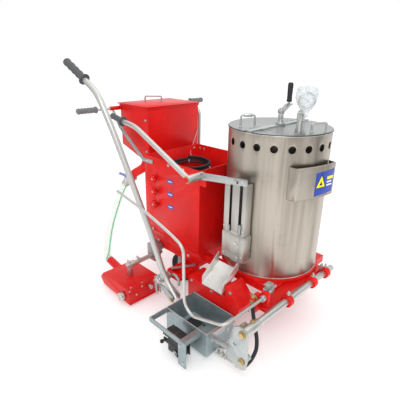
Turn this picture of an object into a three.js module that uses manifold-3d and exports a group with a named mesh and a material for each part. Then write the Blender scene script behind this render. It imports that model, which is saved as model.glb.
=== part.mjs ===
// Hand-pushed line striping machine for hot thermoplastic road paint.
// Millimetres. +X is the way it travels, +Y its left side, +Z up, and Z = 0 is the road.
// Each section is modelled from the kettle's axis, and the whole machine is then centred on its footprint.

import * as THREE from 'three';
import { mergeVertices } from 'three/addons/utils/BufferGeometryUtils.js';
import Module from 'manifold-3d';

const wasm = await Module();
wasm.setup();

// Running gap between pieces that touch.
const GAP = 0.3;

// Kettle that melts the paint.
const KETTLE_RADIUS = 245;
const KETTLE_BASE = 285;
const KETTLE_TOP = 980;
const SHELL_WALL = 3;
const POT_RADIUS = 205;
const VENT_COUNT = 20;
const KETTLE_SIDES = 36;
const VENT_RADIUS = 17;
const VENT_HEIGHT = 920;

// Box that carries the gas cylinder, with the bead hopper behind it.
const BOX = { x0: -700, x1: -252, y0: -285, y1: 144, z0: 285, z1: 756 };
const HOPPER = { x0: -972, x1: -706, y0: -245, y1: 148, z0: 690, z1: 1008 };
const SHEET = 3;
const HOPPER_LID_TOP = 1026;
const BOTTLE = { x: -570, y: -40 };

// Running gear.
const MAIN_WHEEL = { radius: 104, width: 46, x: -112 };
const WHEEL_RIGHT_Y = -335;
const WHEEL_LEFT_Y = 300;
const CASTER = { radius: 88, width: 40, x: -440, y: -200, trail: 26 };

// Rail across the front, on which the paint shoe swings.
const RAIL = { x: 284, z: 258, radius: 16, y0: -560, y1: 165 };
const CLAMP_Y = [-249, -34, 94];

// Paint shoe that lays the line.
const SHOE = { x0: -173, x1: 98, y0: -580, y1: -395, z0: 21, z1: 147 };
// Slot in the shoe's floor that the paint runs through, with its gate in front.
const SHOE_SLOT = { x0: -148, x1: -68 };
const ROLLER = { radius: 36, width: 34, x: -8, y: -642 };

// Levers: each turns about an axis along Y through its pivot.
const LIFT_PIVOT = new THREE.Vector3(-313, -480, 205);
const GATE_PIVOT = new THREE.Vector3(-225, -345, 742);
const ROD_PIVOT = new THREE.Vector3(240, -362, 314);
const HANDLE_RADIUS = 15.5;
const GRIP_RADIUS = 20;

// Glass bead dispenser behind the shoe.
const DISPENSER = { x0: -714, x1: -464, y0: -601, y1: -389, z0: 14, z1: 105 };
const BEAD_HOSE_RADIUS = 22;

const RED = finish(0xd41414, 0.45, 0);
const STAINLESS = finish(0xb9b1a7, 0.3, 1);
const GALVANISED = finish(0x9fadb3, 0.45, 0.9);
const STEEL_TUBE = finish(0xb4b3ae, 0.35, 1);
const BLACK_RUBBER = finish(0x1b1c1e, 0.8, 0);
const GREY_RUBBER = finish(0x4a4e55, 0.75, 0);
const BLACK_IRON = finish(0x222324, 0.55, 0.5);
const CLEAR_HOSE = finish(0xd5efe0, 0.2, 0);
const WHITE_PAINT = finish(0xe6e8ea, 0.4, 0);
const GAS_GREY = finish(0x6f7c86, 0.4, 0.2);

function finish(color, roughness, metalness) {
  return { color, roughness, metalness };
}

// ---- Shape helpers ----

const v = (x, y, z) => new THREE.Vector3(x, y, z);

// Merges shared corners, drops flat triangles and turns the faces outwards.
function closed(geometry) {
  const bare = geometry.clone();
  for (const name of Object.keys(bare.attributes)) {
    if (name !== 'position') bare.deleteAttribute(name);
  }
  const merged = mergeVertices(bare, 1e-3);
  const position = merged.attributes.position;
  const corners = [];
  let volume = 0;
  const [a, b, c] = [v(0, 0, 0), v(0, 0, 0), v(0, 0, 0)];
  for (let i = 0; i < merged.index.count; i += 3) {
    const [p, q, r] = [0, 1, 2].map((step) => merged.index.getX(i + step));
    if (p === q || q === r || r === p) continue;
    corners.push(p, q, r);
    a.fromBufferAttribute(position, p);
    b.fromBufferAttribute(position, q);
    c.fromBufferAttribute(position, r);
    volume += a.dot(b.cross(c));
  }
  if (volume < 0) corners.reverse();
  merged.setIndex(corners);
  return merged;
}

function toSolid(geometry) {
  const shape = closed(geometry);
  return new wasm.Manifold(new wasm.Mesh({
    numProp: 3,
    vertProperties: new Float32Array(shape.attributes.position.array),
    triVerts: new Uint32Array(shape.index.array),
  }));
}

function fromSolid(solid) {
  const mesh = solid.getMesh();
  const geometry = new THREE.BufferGeometry();
  geometry.setAttribute('position', new THREE.BufferAttribute(new Float32Array(mesh.vertProperties), 3));
  geometry.setIndex(new THREE.BufferAttribute(new Uint32Array(mesh.triVerts), 1));
  return geometry;
}

function join(first, ...others) {
  return fromSolid(others.reduce((whole, next) => whole.add(toSolid(next)), toSolid(first)));
}

function cut(base, ...tools) {
  return fromSolid(tools.reduce((whole, tool) => whole.subtract(toSolid(tool)), toSolid(base)));
}

function overlap(first, second) {
  return fromSolid(toSolid(first).intersect(toSolid(second)));
}

function block(x0, x1, y0, y1, z0, z1) {
  const geometry = new THREE.BoxGeometry(x1 - x0, y1 - y0, z1 - z0);
  return geometry.translate((x0 + x1) / 2, (y0 + y1) / 2, (z0 + z1) / 2);
}

function rod(radius, from, to, sides = 12, endRadius = radius) {
  const along = to.clone().sub(from);
  const geometry = new THREE.CylinderGeometry(endRadius, radius, along.length(), sides);
  const turn = new THREE.Quaternion().setFromUnitVectors(v(0, 1, 0), along.clone().normalize());
  const middle = from.clone().add(to).multiplyScalar(0.5);
  return geometry.applyQuaternion(turn).translate(middle.x, middle.y, middle.z);
}

function tube(outer, inner, from, to, sides = 18) {
  const along = to.clone().sub(from).normalize();
  const start = from.clone().sub(along);
  const end = to.clone().add(along);
  return cut(rod(outer, from, to, sides), rod(inner, start, end, sides));
}

function outline(points) {
  return new THREE.Shape(points.map(([x, y]) => new THREE.Vector2(x, y)));
}

// A flat plate in the X-Z plane, from points given as [x, z].
function sidePlate(points, y0, y1, holes = []) {
  const shape = outline(points);
  for (const [x, z, radius] of holes) {
    shape.holes.push(new THREE.Path().absarc(x, z, radius, 0, 2 * Math.PI, true));
  }
  const geometry = new THREE.ExtrudeGeometry(shape, { depth: y1 - y0, bevelEnabled: false, curveSegments: 8 });
  return geometry.rotateX(Math.PI / 2).translate(0, y1, 0);
}

// A flat plate in the Y-Z plane, from points given as [y, z].
function crossPlate(points, x0, x1) {
  const geometry = new THREE.ExtrudeGeometry(outline(points), { depth: x1 - x0, bevelEnabled: false });
  const turn = new THREE.Matrix4().makeBasis(v(0, 1, 0), v(0, 0, 1), v(1, 0, 0));
  return geometry.applyMatrix4(turn).translate(x0, 0, 0);
}

// Straight runs joined by round bends.
function bentPath(points, bend) {
  const path = new THREE.CurvePath();
  let from = points[0];
  for (let i = 1; i < points.length - 1; i += 1) {
    const corner = points[i];
    const back = points[i - 1].clone().sub(corner);
    const ahead = points[i + 1].clone().sub(corner);
    const reach = Math.min(bend, back.length() / 2.1, ahead.length() / 2.1);
    const enter = corner.clone().add(back.setLength(reach));
    const leave = corner.clone().add(ahead.setLength(reach));
    path.add(new THREE.LineCurve3(from, enter));
    path.add(new THREE.QuadraticBezierCurve3(enter, corner, leave));
    from = leave;
  }
  path.add(new THREE.LineCurve3(from, points[points.length - 1]));
  return path;
}

function sweep(path, radius, sides, steps) {
  const section = new THREE.Shape();
  for (let i = 0; i < sides; i += 1) {
    const angle = (2 * Math.PI * i) / sides;
    const [x, y] = [radius * Math.cos(angle), radius * Math.sin(angle)];
    if (i === 0) section.moveTo(x, y);
    else section.lineTo(x, y);
  }
  section.closePath();
  return new THREE.ExtrudeGeometry(section, { steps, extrudePath: path, bevelEnabled: false });
}

function hexHead(radius, from, to) {
  return rod(radius, from, to, 6);
}

function piece(name, look, geometry) {
  const mesh = new THREE.Mesh(closed(geometry), new THREE.MeshStandardMaterial(look));
  mesh.name = name;
  return mesh;
}

function section(position, ...pieces) {
  const group = new THREE.Group();
  group.position.copy(position);
  group.add(...pieces);
  return group;
}

// ---- Frame and running gear ----

function chassis() {
  const skirtWall = 5;
  const skirt = cut(
    block(BOX.x0 + 10, BOX.x1, BOX.y0 + 7, BOX.y1 - 7, 209, KETTLE_BASE - GAP),
    block(BOX.x0 + 10 + skirtWall, BOX.x1 - skirtWall, BOX.y0 + 7 + skirtWall, BOX.y1 - 7 - skirtWall, 200, 280),
  );
  const base = rod(254, v(0, 0, 268), v(0, 0, KETTLE_BASE - GAP), 36);
  const burnerHole = rod(120, v(0, 0, 200), v(0, 0, 300), 20);
  const rails = [-240, 200].map((y) => block(BOX.x1 - 20, 200, y, y + 40, 228, 268));
  const hangers = [
    sidePlate([[-172, 228.5], [-52, 228.5], [-84, 78], [-140, 78]], -262, -254),
    sidePlate([[-172, 228.5], [-52, 228.5], [-84, 78], [-140, 78]], 254, 262),
  ];
  const shelves = [block(-172, -52, -262, -200, 228, 236), block(-172, -52, 200, 262, 228, 236)];
  const axleHole = rod(14.6, v(MAIN_WHEEL.x, -300, MAIN_WHEEL.radius), v(MAIN_WHEEL.x, 300, MAIN_WHEEL.radius));
  const crossBar = block(160, 200, -240, 240, 228, 268);
  const casterPlate = block(CASTER.x - 45, CASTER.x + 45, BOX.y0 + 8, BOX.y1 - 8, 209, 217);
  const swivelHole = rod(13, v(CASTER.x, CASTER.y, 190), v(CASTER.x, CASTER.y, 230));
  const whole = join(skirt, base, ...rails, ...shelves, ...hangers, crossBar, casterPlate);
  return piece('chassis_frame', RED, cut(whole, burnerHole, axleHole, swivelHole));
}

function wheelGuard() {
  const profile = (inset) => [
    [-226 + inset, 150], [-226 + inset, 218 - inset], [29 + inset, 218 - inset], [29 + inset, 276 - inset],
    [41 - inset / 2, 276 - inset], [121 - inset, 188], [92 - inset, 100 - inset * 10],
    [-226 + inset, 100 - inset * 10],
  ];
  const shell = cut(
    sidePlate(profile(0), -386, -270),
    sidePlate(profile(SHEET), -386 + SHEET, -270 - SHEET),
    rod(30, v(MAIN_WHEEL.x, -275, MAIN_WHEEL.radius), v(MAIN_WHEEL.x, -260, MAIN_WHEEL.radius)),
  );
  return piece('wheel_guard', RED, shell);
}

function mainWheel(side, y) {
  const { radius, width } = MAIN_WHEEL;
  const half = width / 2;
  const tyreProfile = [
    [58, -half + 6], [72, -half], [93, -half + 1], [101, -half + 9], [radius, 0],
    [101, half - 9], [93, half - 1], [72, half], [58, half - 6], [58, -half + 6],
  ];
  const rimProfile = [
    [14.4, -30], [26, -30], [26, -8], [46, -6], [57.6, -19], [57.6, 19],
    [46, 6], [26, 8], [26, 30], [14.4, 30], [14.4, -30],
  ];
  const turned = (profile, sides) => new THREE.LatheGeometry(profile.map(([r, at]) => new THREE.Vector2(r, at)), sides);
  return section(
    v(MAIN_WHEEL.x, y, radius),
    piece(`tyre_${side}`, BLACK_RUBBER, turned(tyreProfile, 20)),
    piece(`rim_${side}`, STEEL_TUBE, turned(rimProfile, 20)),
  );
}

function mainAxle() {
  const axle = join(
    rod(14, v(0, WHEEL_RIGHT_Y - 40, 0), v(0, WHEEL_LEFT_Y + 40, 0)),
    hexHead(20, v(0, WHEEL_RIGHT_Y - 44, 0), v(0, WHEEL_RIGHT_Y - 31, 0)),
    hexHead(20, v(0, WHEEL_LEFT_Y + 31, 0), v(0, WHEEL_LEFT_Y + 44, 0)),
  );
  return section(v(MAIN_WHEEL.x, 0, MAIN_WHEEL.radius), piece('main_axle', STEEL_TUBE, axle));
}

function caster() {
  const { radius, width, trail } = CASTER;
  const cheek = (y) => sidePlate([[-34, 196], [34, 196], [-trail + 16, 76], [-trail - 16, 76]], y, y + 5);
  const fork = join(
    block(-34, 34, -33, 33, 190, 200),
    cheek(-33),
    cheek(28),
    rod(12, v(0, 0, 195), v(0, 0, 226)),
    rod(22, v(0, 0, 200), v(0, 0, 208.5)),
    rod(8, v(-trail, -38, radius), v(-trail, 38, radius), 16),
    hexHead(12, v(-trail, -42, radius), v(-trail, -32, radius)),
    hexHead(12, v(-trail, 32, radius), v(-trail, 42, radius)),
  );
  const wheel = new THREE.LatheGeometry([
    [8.4, -24], [20, -24], [20, -14], [60, -14], [64, -width / 2], [82, -width / 2], [radius, -12],
    [radius, 12], [82, width / 2], [64, width / 2], [60, 14], [20, 14], [20, 24], [8.4, 24], [8.4, -24],
  ].map(([r, at]) => new THREE.Vector2(r, at)), 20);
  const forkGroup = section(v(CASTER.x, CASTER.y, 0), piece('caster_fork', GALVANISED, fork));
  const wheelGroup = section(
    v(CASTER.x - trail, CASTER.y, radius),
    piece('caster_wheel', BLACK_RUBBER, wheel),
  );
  return section(v(0, 0, 0), forkGroup, wheelGroup);
}

// ---- Kettle ----

function kettleShell() {
  const height = KETTLE_TOP - KETTLE_BASE;
  const shell = cut(
    rod(KETTLE_RADIUS, v(0, 0, 0), v(0, 0, height), KETTLE_SIDES),
    rod(KETTLE_RADIUS - SHELL_WALL, v(0, 0, SHELL_WALL), v(0, 0, height + 10), KETTLE_SIDES),
    rod(118, v(0, 0, -10), v(0, 0, 10), 20),
    ...Array.from({ length: VENT_COUNT }, (_, i) => {
      const angle = ((-6.9 + (360 / VENT_COUNT) * i) * Math.PI) / 180;
      const out = v(Math.cos(angle), Math.sin(angle), 0);
      const from = out.clone().multiplyScalar(KETTLE_RADIUS - 20).setZ(VENT_HEIGHT - KETTLE_BASE);
      const to = out.clone().multiplyScalar(KETTLE_RADIUS + 20).setZ(VENT_HEIGHT - KETTLE_BASE);
      return rod(VENT_RADIUS, from, to, 8);
    }),
    block(-34, 34, -KETTLE_RADIUS - 10, -200, 60, 130),
  );
  return piece('kettle_shell', STAINLESS, shell);
}

function kettlePot() {
  const wall = 4;
  const low = 70;
  const pot = cut(
    join(
      rod(POT_RADIUS, v(0, 0, low), v(0, 0, 692), 32),
      rod(KETTLE_RADIUS - SHELL_WALL - 2, v(0, 0, 686), v(0, 0, 692), 32),
      block(-28, 28, -284.5, -190, 76, 124),
    ),
    rod(POT_RADIUS - wall, v(0, 0, low + wall), v(0, 0, 700), 32),
    block(-23, 23, -290, -180, 80, 120),
  );
  return piece('melting_pot', STAINLESS, pot);
}

function kettle() {
  const height = KETTLE_TOP - KETTLE_BASE;
  const bar = cut(
    join(
      block(-16, 16, -238, 238, height - 2.6, height + 9),
      rod(14, v(0, 0, height - 16), v(0, 0, height + 5)),
      rod(22, v(0, 0, height + 5), v(0, 0, height + 20)),
    ),
    rod(9.2, v(0, 0, height - 30), v(0, 0, height + 40)),
  );
  const burner = join(
    cut(rod(90, v(0, 0, 12), v(0, 0, 30), 20), rod(66, v(0, 0, 0), v(0, 0, 40), 20)),
    block(-80, 80, -9, 9, 14, 28),
    rod(9, v(0, 0, -50), v(0, 0, 20)),
  );
  return section(
    v(0, 0, KETTLE_BASE),
    kettleShell(),
    kettlePot(),
    piece('kettle_crossbar', GALVANISED, bar),
    piece('burner_ring', BLACK_IRON, burner),
  );
}

// Half a lid, hinged along the crossbar, with its welded bent-rod lifting handle.
function halfLid(name, side) {
  const reach = KETTLE_RADIUS - 0.5;
  const disc = rod(reach, v(0, 0, 0.4), v(0, 0, 3.4), 40);
  const keep = side > 0 ? block(17, 300, -300, 300, -1, 60) : block(-300, -17, -300, 300, -1, 60);
  const hinge = [-150, 150].map((y) => rod(5, v(side * 22, y - 25, 6), v(side * 22, y + 25, 6), 10));
  const [x, y] = side > 0 ? [192, -48] : [-82, -172];
  const [toX, toY] = side > 0 ? [226, 20] : [-46, -132];
  const height = side > 0 ? 42 : 50;
  const foot = 1.5;
  const loop = bentPath([v(x, y, foot), v(x, y, height), v(toX, toY, height), v(toX, toY, foot)], 12);
  // The corners behind the hinge are cut off, so that they don't dip into the shell as the lid lifts.
  const corners = [block(-22.6, 22.6, -300, -230, -5, 20), block(-22.6, 22.6, 230, 300, -5, 20)];
  const notch = side > 0 ? [block(145, 260, -178, -84, -5, 20)] : [];
  const plate = cut(overlap(disc, keep), ...corners, ...notch);
  const lid = join(plate, ...hinge, sweep(loop, 4.5, 6, 14));
  return section(v(0, 0, KETTLE_TOP), piece(`lid_${name}`, STAINLESS, lid));
}

function mixer() {
  const crankTop = 1076;
  const blade = (angle, z) => block(6, 165, -4, 4, z - 26, z + 26).rotateZ(angle);
  const shaft = join(
    rod(9, v(0, 0, 378), v(0, 0, 1048)),
    rod(13, v(0, 0, 1005.6), v(0, 0, 1040)),
    rod(16, v(0, 0, 366), v(0, 0, 640)),
    ...[[0, 400], [Math.PI, 400], [Math.PI / 2, 520], [-Math.PI / 2, 520], [0, 612], [Math.PI, 612]]
      .map(([angle, z]) => blade(angle, z)),
  );
  const arm = cut(
    join(
      rod(16, v(0, 0, 1040.3), v(0, 0, 1056)),
      crossPlate([[-11, 1044], [11, 1044], [72, 1072], [72, 1082], [54, 1082], [-11, 1054]], -9, 9),
      rod(6, v(0, 60, 1078), v(0, 60, 1178), 14),
    ),
    rod(9.3, v(0, 0, 1030), v(0, 0, 1050)),
  );
  const grip = cut(
    new THREE.LatheGeometry([
      [0, 0], [9, 0], [13, 8], [10.5, 26], [12, 55], [13, 74], [9, 86], [0, 88],
    ].map(([r, at]) => new THREE.Vector2(r, at)), 18).rotateX(Math.PI / 2).translate(0, 60, crankTop + 12),
    rod(6.3, v(0, 60, 1080), v(0, 60, 1200), 16),
  );
  return section(
    v(0, 0, 0),
    piece('mixer_shaft', STEEL_TUBE, shaft),
    piece('mixer_crank', WHITE_PAINT, arm),
    piece('mixer_grip', BLACK_RUBBER, grip),
  );
}

function thermometer() {
  const facing = v(Math.SQRT1_2, -Math.SQRT1_2, 0).multiplyScalar(14);
  const centre = v(0, -10, 144);
  const dial = rod(42, centre.clone().sub(facing), centre.clone().add(facing), 32);
  const gauge = join(
    block(-17, 17, -16, 16, GAP - 3, 6),
    sidePlate([[-20, 5], [20, 5], [14, 66], [-14, 66]], -3, 3),
    rod(8, v(0, -10, 6), v(0, -10, 104), 14),
    block(-14, 14, -18, 3, 62, 94),
    dial,
  );
  return section(v(178, -118, KETTLE_TOP), piece('thermometer', GALVANISED, gauge));
}

function documentPocket() {
  const face = 268;
  const halfWidth = 122;
  const turn = (-14 * Math.PI) / 180;
  const body = block(196, face, -halfWidth, halfWidth, 700, 848).rotateZ(turn);
  const hollow = block(190, face - 2.5, -halfWidth + 2.5, halfWidth - 2.5, 703, 900).rotateZ(turn);
  const drum = rod(KETTLE_RADIUS + GAP, v(0, 0, 600), v(0, 0, 900), KETTLE_SIDES);
  const innerDrum = rod(KETTLE_RADIUS + GAP + 2, v(0, 0, 600), v(0, 0, 900), KETTLE_SIDES);
  const backPlate = cut(overlap(body, innerDrum), drum);
  const sleeve = cut(body, drum, hollow);
  return piece('document_pocket', STAINLESS, join(sleeve, backPlate));
}

// ---- Discharge gate and chute ----

function dischargeGate() {
  const channel = cut(
    block(-72, 52, -300, -252, 500, 756),
    block(-60, 40, -292, -240, 490, 770),
    block(-32, 32, -310, -290, 620, 800),
    rod(KETTLE_RADIUS + GAP, v(0, 0, 400), v(0, 0, 800), KETTLE_SIDES),
  );
  const spout = cut(
    block(-76, 56, -302, -246, 372, 505),
    block(-50, 34, -310, -240, 352, 440),
    block(-40, 30, -296, -284, 400, 520),
    block(-60, 40, -292, -240, 480, 520),
    rod(KETTLE_RADIUS + GAP, v(0, 0, 300), v(0, 0, 800), KETTLE_SIDES),
    block(-30, 30, -270, -230, 350, 420),
  );
  const slide = join(
    block(-26, 22, -291.5, -285, 360, 780),
    rod(5, v(-2, -312, 766.6), v(-2, -286, 766.6), 10),
  );
  return section(
    v(0, 0, 0),
    piece('gate_channel', STAINLESS, join(channel, spout)),
    piece('gate_slide', STAINLESS, slide),
  );
}

function chute() {
  const [backY, backZ, lipY, lipZ] = [-288, 322, -405, 234];
  const profile = (drop, rise) => [
    [backY, backZ - drop], [lipY, lipZ - drop], [lipY, lipZ + rise], [backY, backZ + rise + 6],
  ];
  const outer = crossPlate(profile(3, 44), -106, 26);
  const inner = crossPlate([
    [backY + 20, backZ + 13], [lipY - 20, lipZ - 13], [lipY - 20, lipZ + 100], [backY + 20, backZ + 120],
  ], -103, 23);
  return piece('discharge_chute', GALVANISED, cut(outer, inner));
}

function dischargeLever() {
  const at = GATE_PIVOT;
  const rise = (x, z) => v(x - at.x, -40, z - at.z);
  const path = bentPath([v(-10, -40, 5), rise(-640, 938), rise(-752, 948), rise(-842, 966)], 60);
  const lever = cut(
    join(
      sweep(path, 13, 8, 16),
      rod(19, v(0, -53, 0), v(0, 55, 0)),
      sidePlate([[-14, -16], [0, -18], [286, 18], [286, 48], [0, 18], [-14, 12]], 36, 42),
    ),
    block(214, 238, 30, 50, 18, 31.4),
    rod(11, v(0, -70, 0), v(0, 70, 0)),
  );
  const gripPath = [rise(-744, 947), rise(-850, 967.5)];
  const grip = join(
    rod(GRIP_RADIUS - 3, gripPath[0], gripPath[1], 12),
    rod(27, gripPath[0], gripPath[0].clone().lerp(gripPath[1], 0.06), 14),
  );
  const sleeved = cut(grip, rod(14.8, rise(-730, 944.2), rise(-842.4, 966.1), 12));
  return section(
    at,
    piece('discharge_lever', STEEL_TUBE, lever),
    piece('discharge_grip', GREY_RUBBER, sleeved),
  );
}

// ---- Gas box ----

function gasBox() {
  const { x0, x1, y0, y1, z0, z1 } = BOX;
  const knobHoles = [636, 561, 484].map((z) => rod(6.4, v(-604, y0 - 10, z), v(-604, y0 + 10, z), 14));
  const pivot = GATE_PIVOT;
  const stud = join(
    block(x1 - 2, pivot.x + 16, y0, y0 + 6, pivot.z - 60, pivot.z + 12),
    rod(10, v(pivot.x, pivot.y - 58, pivot.z), v(pivot.x, y0 + 3, pivot.z), 16),
    hexHead(15, v(pivot.x, pivot.y - 64, pivot.z), v(pivot.x, pivot.y - 53.4, pivot.z)),
  );
  const walls = join(
    cut(
      block(x0, x1, y0, y1, z0, z1),
      block(x0 + SHEET, x1 - SHEET, y0 + SHEET, y1 - SHEET, z0 + SHEET, z1 + 10),
      ...knobHoles,
    ),
    stud,
  );
  const shell = new THREE.LatheGeometry([
    [0, 0], [92, 0], [112, 18], [118, 44], [118, 250], [104, 286], [66, 306], [24, 312], [24, 322], [0, 322],
  ].map(([r, at]) => new THREE.Vector2(r, at)), 16).rotateX(Math.PI / 2);
  const hollow = new THREE.LatheGeometry([
    [0, -10], [60, -10], [60, 30], [112, 48], [112, 248], [98, 282], [60, 300], [0, 302],
  ].map(([r, at]) => new THREE.Vector2(r, at)), 16).rotateX(Math.PI / 2);
  const bottle = join(
    cut(shell, hollow),
    rod(13, v(0, 0, 318), v(0, 0, 352), 14),
    rod(7, v(0, 0, 340), v(0, -34, 340), 12),
    rod(18, v(0, 0, 350), v(0, 0, 362), 10),
  );
  const coil = new THREE.TorusGeometry(112, 7.5, 6, 24);
  const knobs = [636, 561, 484].map((z, i) => section(
    v(-604, y0, z),
    piece(`gas_knob_${i + 1}`, RED, join(
      ...Array.from({ length: 6 }, (_, lobe) => {
        const angle = (lobe * Math.PI) / 3;
        const [x, up] = [16 * Math.cos(angle), 16 * Math.sin(angle)];
        return rod(8, v(x, -24, up), v(x, -10, up), 8);
      }),
      rod(16, v(0, -25, 0), v(0, -9, 0), 12),
      rod(5, v(0, -12, 0), v(0, 3.4, 0), 12),
    )),
  ));
  return section(
    v(0, 0, 0),
    piece('gas_box', RED, walls),
    section(v(BOTTLE.x, BOTTLE.y, z0 + 4), piece('gas_cylinder', GAS_GREY, bottle)),
    section(v(BOTTLE.x, BOTTLE.y, 668), piece('coiled_gas_hose', BLACK_RUBBER, coil)),
    ...knobs,
  );
}

// ---- Bead hopper and dispenser ----

function beadHopper() {
  const { x0, x1, y0, y1, z1 } = HOPPER;
  const side = (inset) => [
    [x0 + inset, z1 + inset * 4], [x0 + inset, 769 + inset * 0.4], [-768 + inset * 0.4, 704 + inset],
    [x1 - inset, 704 + inset], [x1 - inset, z1 + inset * 4],
  ];
  const body = cut(
    join(sidePlate(side(0), y0, y1), rod(28, v(-760, -205, 716), v(-772, -222, 676), 20)),
    sidePlate(side(SHEET), y0 + SHEET, y1 - SHEET),
    rod(22, v(-754, -197, 735), v(-775, -226, 666), 20),
  );
  const handleTop = HOPPER_LID_TOP + 24;
  const loop = bentPath([
    v(-880, 60, z1 + 3), v(-880, 60, handleTop), v(-815, 60, handleTop), v(-815, 60, z1 + 3),
  ], 14);
  const lid = join(
    cut(
      block(x0 - 6, x1 + 4, y0 - 6, y1 + 6, z1 - 14, HOPPER_LID_TOP - 8),
      block(x0 - 3.4, x1 + 1.6, y0 - 3.4, y1 + 3.4, z1 - 20, z1 + GAP),
    ),
    sweep(loop, 4.5, 6, 14),
  );
  const feedRoute = (extra) => [
    v(-772.3, -222.4, 675.1).addScaledVector(v(0.266, 0.377, 0.887), extra), v(-780, -233, 650),
    v(-843, -255.2, 607.8), v(-857.3, -261.8, 590.4).addScaledVector(v(-0.61, -0.28, -0.74), extra),
  ];
  const feed = cut(
    sweep(bentPath(feedRoute(0), 14), 26, 12, 8),
    sweep(bentPath(feedRoute(10), 14), 20, 10, 8),
  );
  const coupling = cut(
    join(
      rod(33, v(-858.5, -262, 589.2), v(-889, -276, 552), 18),
      rod(25, v(-884, -274, 558), v(-903, -282, 536), 16),
      block(-893, -853, -304, -298, 555, 585),
      rod(7, v(-870, -304, 570), v(-870, -270, 570), 12),
    ),
    rod(19, v(-850, -258, 600), v(-912, -286, 525), 14),
  );
  return section(
    v(0, 0, 0),
    piece('bead_hopper', RED, body),
    piece('hopper_lid', RED, lid),
    piece('bead_outlet_pipe', RED, feed),
    piece('outlet_coupling', WHITE_PAINT, coupling),
  );
}

const BEAD_HOSE_ROUTE = [
  v(-905, -282.9, 533.7), v(-914, -287, 522), v(-927, -306, 478), v(-938, -345, 380), v(-930, -400, 262),
  v(-898, -450, 160), v(-862, -484, 112),
  v(-842, -488, 104.6), v(-821.5, -488, 100.7),
];

function beadHose() {
  const path = new THREE.CatmullRomCurve3(BEAD_HOSE_ROUTE, false, 'centripetal');
  return piece('bead_hose', CLEAR_HOSE, sweep(path, BEAD_HOSE_RADIUS, 10, 20));
}

function dispenser() {
  const { x0, x1, y0, y1, z0, z1 } = DISPENSER;
  const profile = [[x0, z1], [x0 - 34, 66], [x0, 28], [-575, z0 + 8], [x1 + 8, z0], [x1, z0 + 8], [x1, z1]];
  const inner = [[x0 + 4, z1 - 4], [x0 - 28, 66], [x0 + 4, 32], [-575, z0 + 12], [x1 - 4, z0 + 12], [x1 - 4, z1 - 4]];
  const body = cut(
    join(sidePlate(profile, y0, y1), rod(24, v(-818, -488, 100), v(-712, -488, 80), 18)),
    sidePlate(inner, y0 + 4, y1 - 4),
    block(-590, -490, y0 + 20, y1 - 20, z0 - 10, z0 + 30),
    rod(9.4, v(-512, y0 - 10, 52), v(-512, y1 + 10, 52), 16),
    rod(19, v(-830, -488, 102.3), v(-700, -488, 77.7), 18),
  );
  const roller = join(
    rod(9, v(0, y0 - 4, 0), v(0, y1 + 8, 0), 14),
    rod(25, v(0, y0 + 8, 0), v(0, y1 - 8, 0), 16),
    rod(22, v(0, y0 - 16, 0), v(0, y0 - 3.6, 0), 18),
  );
  const knob = join(
    rod(6, v(x1 + 0.4, -467, 79), v(x1 + 14, -467, 79), 12),
    rod(12, v(x1 + 12, -467, 79), v(x1 + 28, -467, 79), 18),
  );
  const arm = cut(
    join(
      rod(14, v(-590, -520, 169), v(-590, -268, 169)),
      block(-604, -576, -512, -488, 105.4, 170),
    ),
  );
  const clamp = cut(
    join(
      block(-625, -555, -345, -300, 142, 196),
      block(-625, -555, -345, -279, 196, 240),
      rod(5, v(-590, -322, 230), v(-590, -322, 262), 10),
    ),
    rod(14.4, v(-590, -360, 169), v(-590, -290, 169)),
    block(-640, -540, -299.5, -278.4, 100, 205),
  );
  return section(
    v(0, 0, 0),
    piece('dispenser_box', RED, body),
    section(v(-512, 0, 52), piece('bead_roller', STAINLESS, roller)),
    piece('dispenser_knob', WHITE_PAINT, knob),
    piece('dispenser_arm', STEEL_TUBE, arm),
    piece('dispenser_clamp', GALVANISED, clamp),
  );
}

// ---- Push handlebar ----

function handlebar() {
  const barX = -988;
  const barZ = 985;
  const bar = join(
    rod(12, v(barX, -305, barZ), v(barX, 250, barZ)),
    rod(7, v(barX, -420, barZ), v(barX, 365, barZ), 14),
  );
  const grip = (from, to, collar) => cut(
    join(rod(17, from, to, 16), rod(22, from, from.clone().lerp(to, collar), 16)),
    rod(7.3, from.clone().lerp(to, -0.05), from.clone().lerp(to, 0.9), 14),
  );
  const stay = sidePlate([
    [-1000, 972], [-936, 876], [-712, 716], [-622, 716], [-622, 738], [-703, 738], [-920, 894], [-976, 972],
  ], -289.5, -285.4);
  const post = join(
    sweep(bentPath([v(-716, 172, 640), v(-716, 172, 985), v(-975.6, 172, 985)], 60), 10, 8, 16),
    block(-726, -700.4, 146, 182, 630, 700),
  );
  return section(
    v(0, 0, 0),
    piece('handlebar', RED, cut(bar, block(-1010, -970, -290, -285, 960, 973))),
    piece('handlebar_stay', GALVANISED, stay),
    piece('handlebar_post', STEEL_TUBE, post),
    piece('push_grip_right', GREY_RUBBER, grip(v(barX, -400, barZ), v(barX, -523, barZ), 0.06)),
    piece('push_grip_left', GREY_RUBBER, grip(v(barX, 345, barZ), v(barX, 468, barZ), 0.06)),
  );
}

// ---- Front rail and paint shoe ----

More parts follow.
